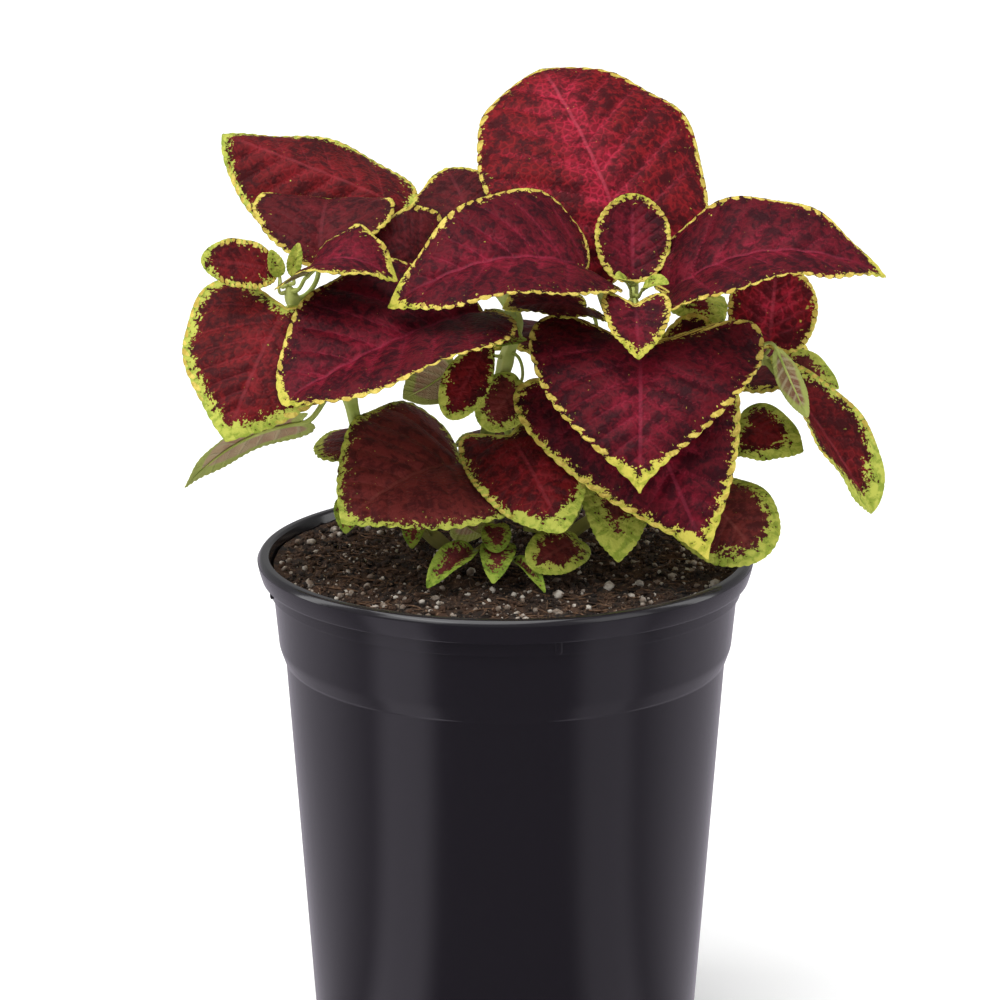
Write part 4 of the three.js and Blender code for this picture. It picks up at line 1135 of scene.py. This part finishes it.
add_leaf(
    middle_stem, "middle_leaf_low_back", 0.4, (4, 10, 212), (16, 64, 194), 48, (0, 0.5, 0.85), "aged",
    (2.8, 5, 0), arch=6, curl=-14, outline=SMALL_HEART,
)
add_leaf(
    middle_stem, "middle_leaf_low_left", 0.36, (-13.5, -10, 207.5), (-52, -46, 196.5), 64,
    (-0.1, -0.7, 0.7), "aged", (1.5, 2.8, 0), arch=7, lifts=(8, 12), curl=-14, outline=BLUNT_HEART,
)
add_leaf(
    middle_stem, "middle_leaf_foot", 0.22, (-15, -13, 188), (-7.5, -26, 187), 11, (0.3, 0.5, -0.8),
    "young", (2, 3, 0), arch=1, lifts=(10, 10), curl=0, slot="young_leaf",
)

# Left stem: arches out over the left of the pot and ends in a small crown of its own. Its lowest
# blades hang past the rim, one of them tilted so that its pale underside shows.
add_leaf(
    left_stem, "left_bud_outer", 1, (-72.4, -15, 270), (-75, -17, 279), 5, (0, -0.9, 0.5), "aged",
    (4, 4, 0), **BUD,
)
add_leaf(
    left_stem, "left_bud_inner", 1, (-68.2, -15, 270), (-66, -16, 281), 4.6, (0, -0.9, 0.5), "aged",
    (4, 4, 0), **BUD,
)
add_leaf(
    left_stem, "left_leaf_back", 0.95, (-60.5, -8, 270.5), (-58.5, 24, 289), 46, (0, -0.4, 0.9), "painted_shade",
    (0.7, 2, 1), arch=7, lifts=(12, 12), curl=-12, outline=SPOON,
)
add_leaf(
    left_stem, "left_leaf_outer", 0.98, (-73.3, -13.2, 271.8), (-97, -20, 276.3), 17, (0, -0.8, 0.6),
    "outer", (1, 2, 1), arch=1, lifts=(5, 5), curl=-6, outline=OVAL,
)
add_leaf(
    left_stem, "left_leaf_inner", 0.98, (-64, -18.5, 271.5), (-34, -31, 271.5), 36, (0, -0.5, 0.87),
    "crown", (0.9, 2.4, 1), arch=8, lifts=(30, 6), curl=-16,
)
add_leaf(
    left_stem, "left_leaf_front", 0.88, (-70, -18, 261), (-88, -46, 223), 60, (-0.2, -0.9, 0.4), "outer",
    (3.0, 5, 1), curl=-14, outline=SMALL_HEART,
)
add_leaf(
    left_stem, "left_leaf_narrow", 0.66, (-66, -14, 222.5), (-104, -22, 202), 25, (-0.4, 0.55, 0.7),
    "aged", (2.2, 5, 0), arch=5, lifts=(3, 0),
)
add_leaf(
    left_stem, "left_leaf_low_right", 0.62, (-56, 0, 236), (-50, 56, 240), 50, (0, 0.2, 0.95), "painted_shade",
    (1.8, 4, 1), arch=6, curl=-14,
)
add_leaf(
    left_stem, "left_leaf_low_back", 0.4, (-40, 4, 208), (-44, 58, 200), 47, (0, 0.5, 0.85), "aged",
    (2.6, 5, 0), arch=5, curl=-14, outline=SMALL_HEART,
)
add_leaf(
    left_stem, "left_leaf_foot_outer", 0.3, (-51, -12, 195), (-52, -22, 186.5), 9, (0, -0.8, 0.6),
    "young", (1.4, 2, 0), arch=1, lifts=(5, 5), curl=0,
)
add_leaf(
    left_stem, "left_leaf_foot_inner", 0.12, (-30, -14, 189), (-30.5, -22, 181.5), 7, (0, -0.8, 0.6),
    "young", (1.2, 2, 0), arch=1, lifts=(5, 5), curl=0,
)

# Right stem: short, with few large blades. Its leaves hang outward over the right of the rim, and
# one twisted blade shows its underside.
add_leaf(
    right_stem, "right_leaf_upright", 0.98, (86.5, 2, 243), (89.5, 12, 270), 29, (0, -1, 0.2), "bright",
    (0.8, 2, 1), arch=-1, lifts=(8, 8), outline=ROUND,
)
add_leaf(
    right_stem, "right_leaf_narrow", 0.98, (86, 8, 237), (110, 4, 229), 16, (0, -0.5, 0.85), "aged",
    (2.6, 4, 0), arch=2, lifts=(14, 14), curl=0, outline=LANCE,
)
add_leaf(
    right_stem, "right_leaf_hanging", 0.97, (86, -4, 241), (120, -16, 192), 30, (0.3, -0.9, 0.3), "outer",
    (2.2, 8, 1), arch=3, lifts=(60, 0), outline=SPOON,
)
add_leaf(
    right_stem, "right_leaf_turned", 0.93, (86.8, -20.3, 247.4), (96.5, -29, 227), 8, (0, 0.9, -0.2),
    "painted_shade", (0.8, 1.5, 0), arch=2, lifts=(20, 20), curl=0, outline=LANCE, slot="leaf_underside",
)
add_leaf(
    right_stem, "right_leaf_back", 0.8, (75, 14, 228), (94, 62, 232), 46, (0, 0.3, 0.95), "painted_shade",
    (1.8, 4, 1), arch=6, curl=-14,
)
add_leaf(
    right_stem, "right_leaf_front", 0.8, (76, -6, 219), (97, -14, 212), 24, (0, -0.6, 0.8), "outer",
    (3, 5, 0), arch=2, curl=-8,
)
add_leaf(
    right_stem, "right_leaf_low_front", 0.55, (62, -8, 198.5), (82, -36, 181.5), 34, (0, -0.7, 0.7),
    "aged", (3.8, 5.5, 0), arch=3, curl=-12, outline=ROUND,
)
add_leaf(
    right_stem, "right_leaf_low_back", 0.5, (54, 12, 206), (68, 60, 198), 44, (0, 0.5, 0.85), "aged",
    (2.8, 5, 0), arch=5, curl=-14, outline=SMALL_HEART,
)

# Sprout: a side shoot at the soil in front, with two pairs of small blades. They are young, and
# hardly any red has come into their green.
add_leaf(
    sprout_stem, "sprout_leaf_top", 0.97, (-3, -23, 190), (-3, -36, 184), 9, (0, -0.7, 0.7), "young",
    (1.6, 2.4, 0), arch=1, lifts=(5, 5), curl=0, outline=ROUND, slot="young_leaf",
)
add_leaf(
    sprout_stem, "sprout_leaf_front", 0.8, (-2, -27, 184), (-4, -44, 176), 11, (0, -0.7, 0.7), "young",
    (2.2, 3.2, 0), arch=2, lifts=(10, 10), curl=0, slot="young_leaf",
)
add_leaf(
    sprout_stem, "sprout_leaf_left", 0.8, (-10, -28, 183), (-25, -45, 174.8), 11, (0, -0.6, 0.8), "young",
    (2.2, 3.2, 0), arch=3, lifts=(30, 30), curl=0, outline=LANCE, slot="young_leaf",
)
add_leaf(
    sprout_stem, "sprout_leaf_right", 0.6, (2, -29, 180), (12.5, -46, 173.5), 6, (0, -0.4, 0.9), "young",
    (1.8, 2.6, 0), arch=2, lifts=(40, 40), curl=0, outline=LANCE, slot="young_leaf",
)

# ---------------------------------------------------------------- floor, light and camera
# A pale studio sweep with nothing on it, lit by four soft panels and a broad light from above.
# The camera stands in front, a little higher than the plant, and looks down at it.
FLOOR_SIZE = 16.0
CAMERA_PLACE = (-0.0018, -0.9672, 0.4461)
CAMERA_DOWN = 14.72
LENS = 108.5
FILM_WIDTH = 36
SIGHT = (0.05, 60)
PANELS = [
    # name, place, aim, size, power in W
    ("panel_front_left", (-1.3, -1.3, 1.6), (0, 0, 0.2), (1.2, 1.2), 9),
    ("panel_front_right", (1.4, -1.0, 1.2), (0, 0, 0.2), (1.0, 1.4), 5),
    ("panel_strip_left", (-1.2, 0.15, 0.5), (0, 0, 0.1), (0.35, 1.6), 5),
    ("panel_strip_right", (1.2, 0.15, 0.5), (0, 0, 0.1), (0.35, 1.6), 4),
]
SKY_LIGHT = 2.5
SKY_SPREAD = 60
SKY_PLACE = (-0.5, -0.6, 2.4)
DIM_WORLD = 0.35
CARD_GLOW = 0.22

# Painted reflection, seen by glossy rays only: angles round the pot from the front, in radians,
# where the painted band of a side panel starts and ends and where the brighter painted part behind
# begins, and their strengths: left and right panel band, dark front and the part behind.
BAND_ANGLES = (0.5, 0.72, 0.98, 1.22)
BEHIND_REFLECTION_ANGLES = (0.85, 1.75)
PANEL_REFLECTION_PAINT = (0.72, 0.42)
BEHIND_REFLECTION_PAINT = (0.1, 0.55)

# Matt white card, its white very slightly uneven over a third of a metre. To glossy rays it shows
# a painted reflection instead: an emitted pattern, dark in front, a soft bright band under the panel
# at each side, and brighter again behind, that stands in for a dimmed studio in the pot's gloss.
white_sweep, tree = new_material("matt_white_sweep")
place = add(tree, "TexCoord", output="Object")
grain = add(tree, "TexNoise", {"Vector": place, "Scale": 3, "Detail": 1})
tone = add(tree, "MapRange", [grain, 0.3, 0.7, 0.895, 0.905])
tone = add(tree, "CombineColor", [tone, tone, tone])
card = add(tree, "BsdfPrincipled", {
    "Base Color": tone, "Roughness": 0.8, "Specular IOR Level": 0.2,
    "Emission Color": (1, 1, 1, 1), "Emission Strength": CARD_GLOW,
})
across = add(tree, "SeparateXYZ", [place], output="X")
behind = add(tree, "SeparateXYZ", [place], output="Y")
ahead = add(tree, "Math", [behind, -1.0], operation="MULTIPLY")
aside = add(tree, "Math", [across], operation="ABSOLUTE")
round_pot = add(tree, "Math", [aside, ahead], operation="ARCTAN2")
starts = add(tree, "MapRange", [round_pot, *BAND_ANGLES[:2], 0, 1], **SMOOTH)
ends = add(tree, "MapRange", [round_pot, *BAND_ANGLES[2:], 1, 0], **SMOOTH)
panel = add(tree, "Math", [starts, ends], operation="MULTIPLY")
strong = add(tree, "MapRange", [across, -0.02, 0.02, *PANEL_REFLECTION_PAINT])
panel = add(tree, "Math", [panel, strong], operation="MULTIPLY")
painted_reflection_behind = add(tree, "MapRange", [round_pot, *BEHIND_REFLECTION_ANGLES, *BEHIND_REFLECTION_PAINT], **SMOOTH)
glow = add(tree, "Math", [panel, painted_reflection_behind], operation="ADD")
# Painted reflection: light emitted for glossy rays only, which no lamp gives.
painted_reflection = add(tree, "Emission", {"Color": (0.94, 0.88, 1, 1), "Strength": glow})
glossy = add(tree, "LightPath", output="Is Glossy Ray")
shader = add(tree, "MixShader", [glossy, card, painted_reflection])
add(tree, "OutputMaterial", [shader])
half = FLOOR_SIZE / 2
floor_mesh = bpy.data.meshes.new("studio_floor")
corners = [(-half, -half, 0), (half, -half, 0), (half, half, 0), (-half, half, 0)]
floor_mesh.from_pydata(corners, [], [(0, 1, 2, 3)])
floor_mesh.materials.append(white_sweep)
studio_floor = bpy.data.objects.new("studio_floor", floor_mesh)
bpy.context.scene.collection.objects.link(studio_floor)


def look_at(thing, place, target):
    """Puts a light at a place and turns it to face a target."""
    thing.location = place
    thing.rotation_euler = (Vector(target) - Vector(place)).to_track_quat("-Z", "Y").to_euler()


for name, place, aim, size, power in PANELS:
    lamp = bpy.data.lights.new(name, "AREA")
    lamp.shape = "RECTANGLE"
    lamp.size, lamp.size_y = size
    lamp.energy = power
    panel = bpy.data.objects.new(name, lamp)
    bpy.context.scene.collection.objects.link(panel)
    look_at(panel, place, aim)

lamp = bpy.data.lights.new("ceiling_light", "SUN")
lamp.energy = SKY_LIGHT
lamp.angle = math.radians(SKY_SPREAD)
ceiling = bpy.data.objects.new("ceiling_light", lamp)
bpy.context.scene.collection.objects.link(ceiling)
look_at(ceiling, SKY_PLACE, (0, 0, 0))

world = bpy.data.worlds.new("studio_white")
world.use_nodes = True
tree = world.node_tree
tree.nodes.clear()
seen = add(tree, "LightPath", output="Is Camera Ray")
bright = add(tree, "Background", {"Color": (1, 1, 1, 1), "Strength": 1.0})
dim = add(tree, "Background", {"Color": (1, 1, 1, 1), "Strength": DIM_WORLD})
mixed = add(tree, "MixShader", [seen, dim, bright])
add(tree, "OutputWorld", [mixed])
bpy.context.scene.world = world
bpy.context.scene.view_settings.view_transform = "Standard"

camera_data = bpy.data.cameras.new("camera")
camera_data.lens = LENS
camera_data.sensor_width = FILM_WIDTH
camera_data.clip_start, camera_data.clip_end = SIGHT
camera = bpy.data.objects.new("camera", camera_data)
camera.location = CAMERA_PLACE
camera.rotation_euler = (math.radians(90 - CAMERA_DOWN), 0, 0)
bpy.context.scene.collection.objects.link(camera)
bpy.context.scene.camera = camera
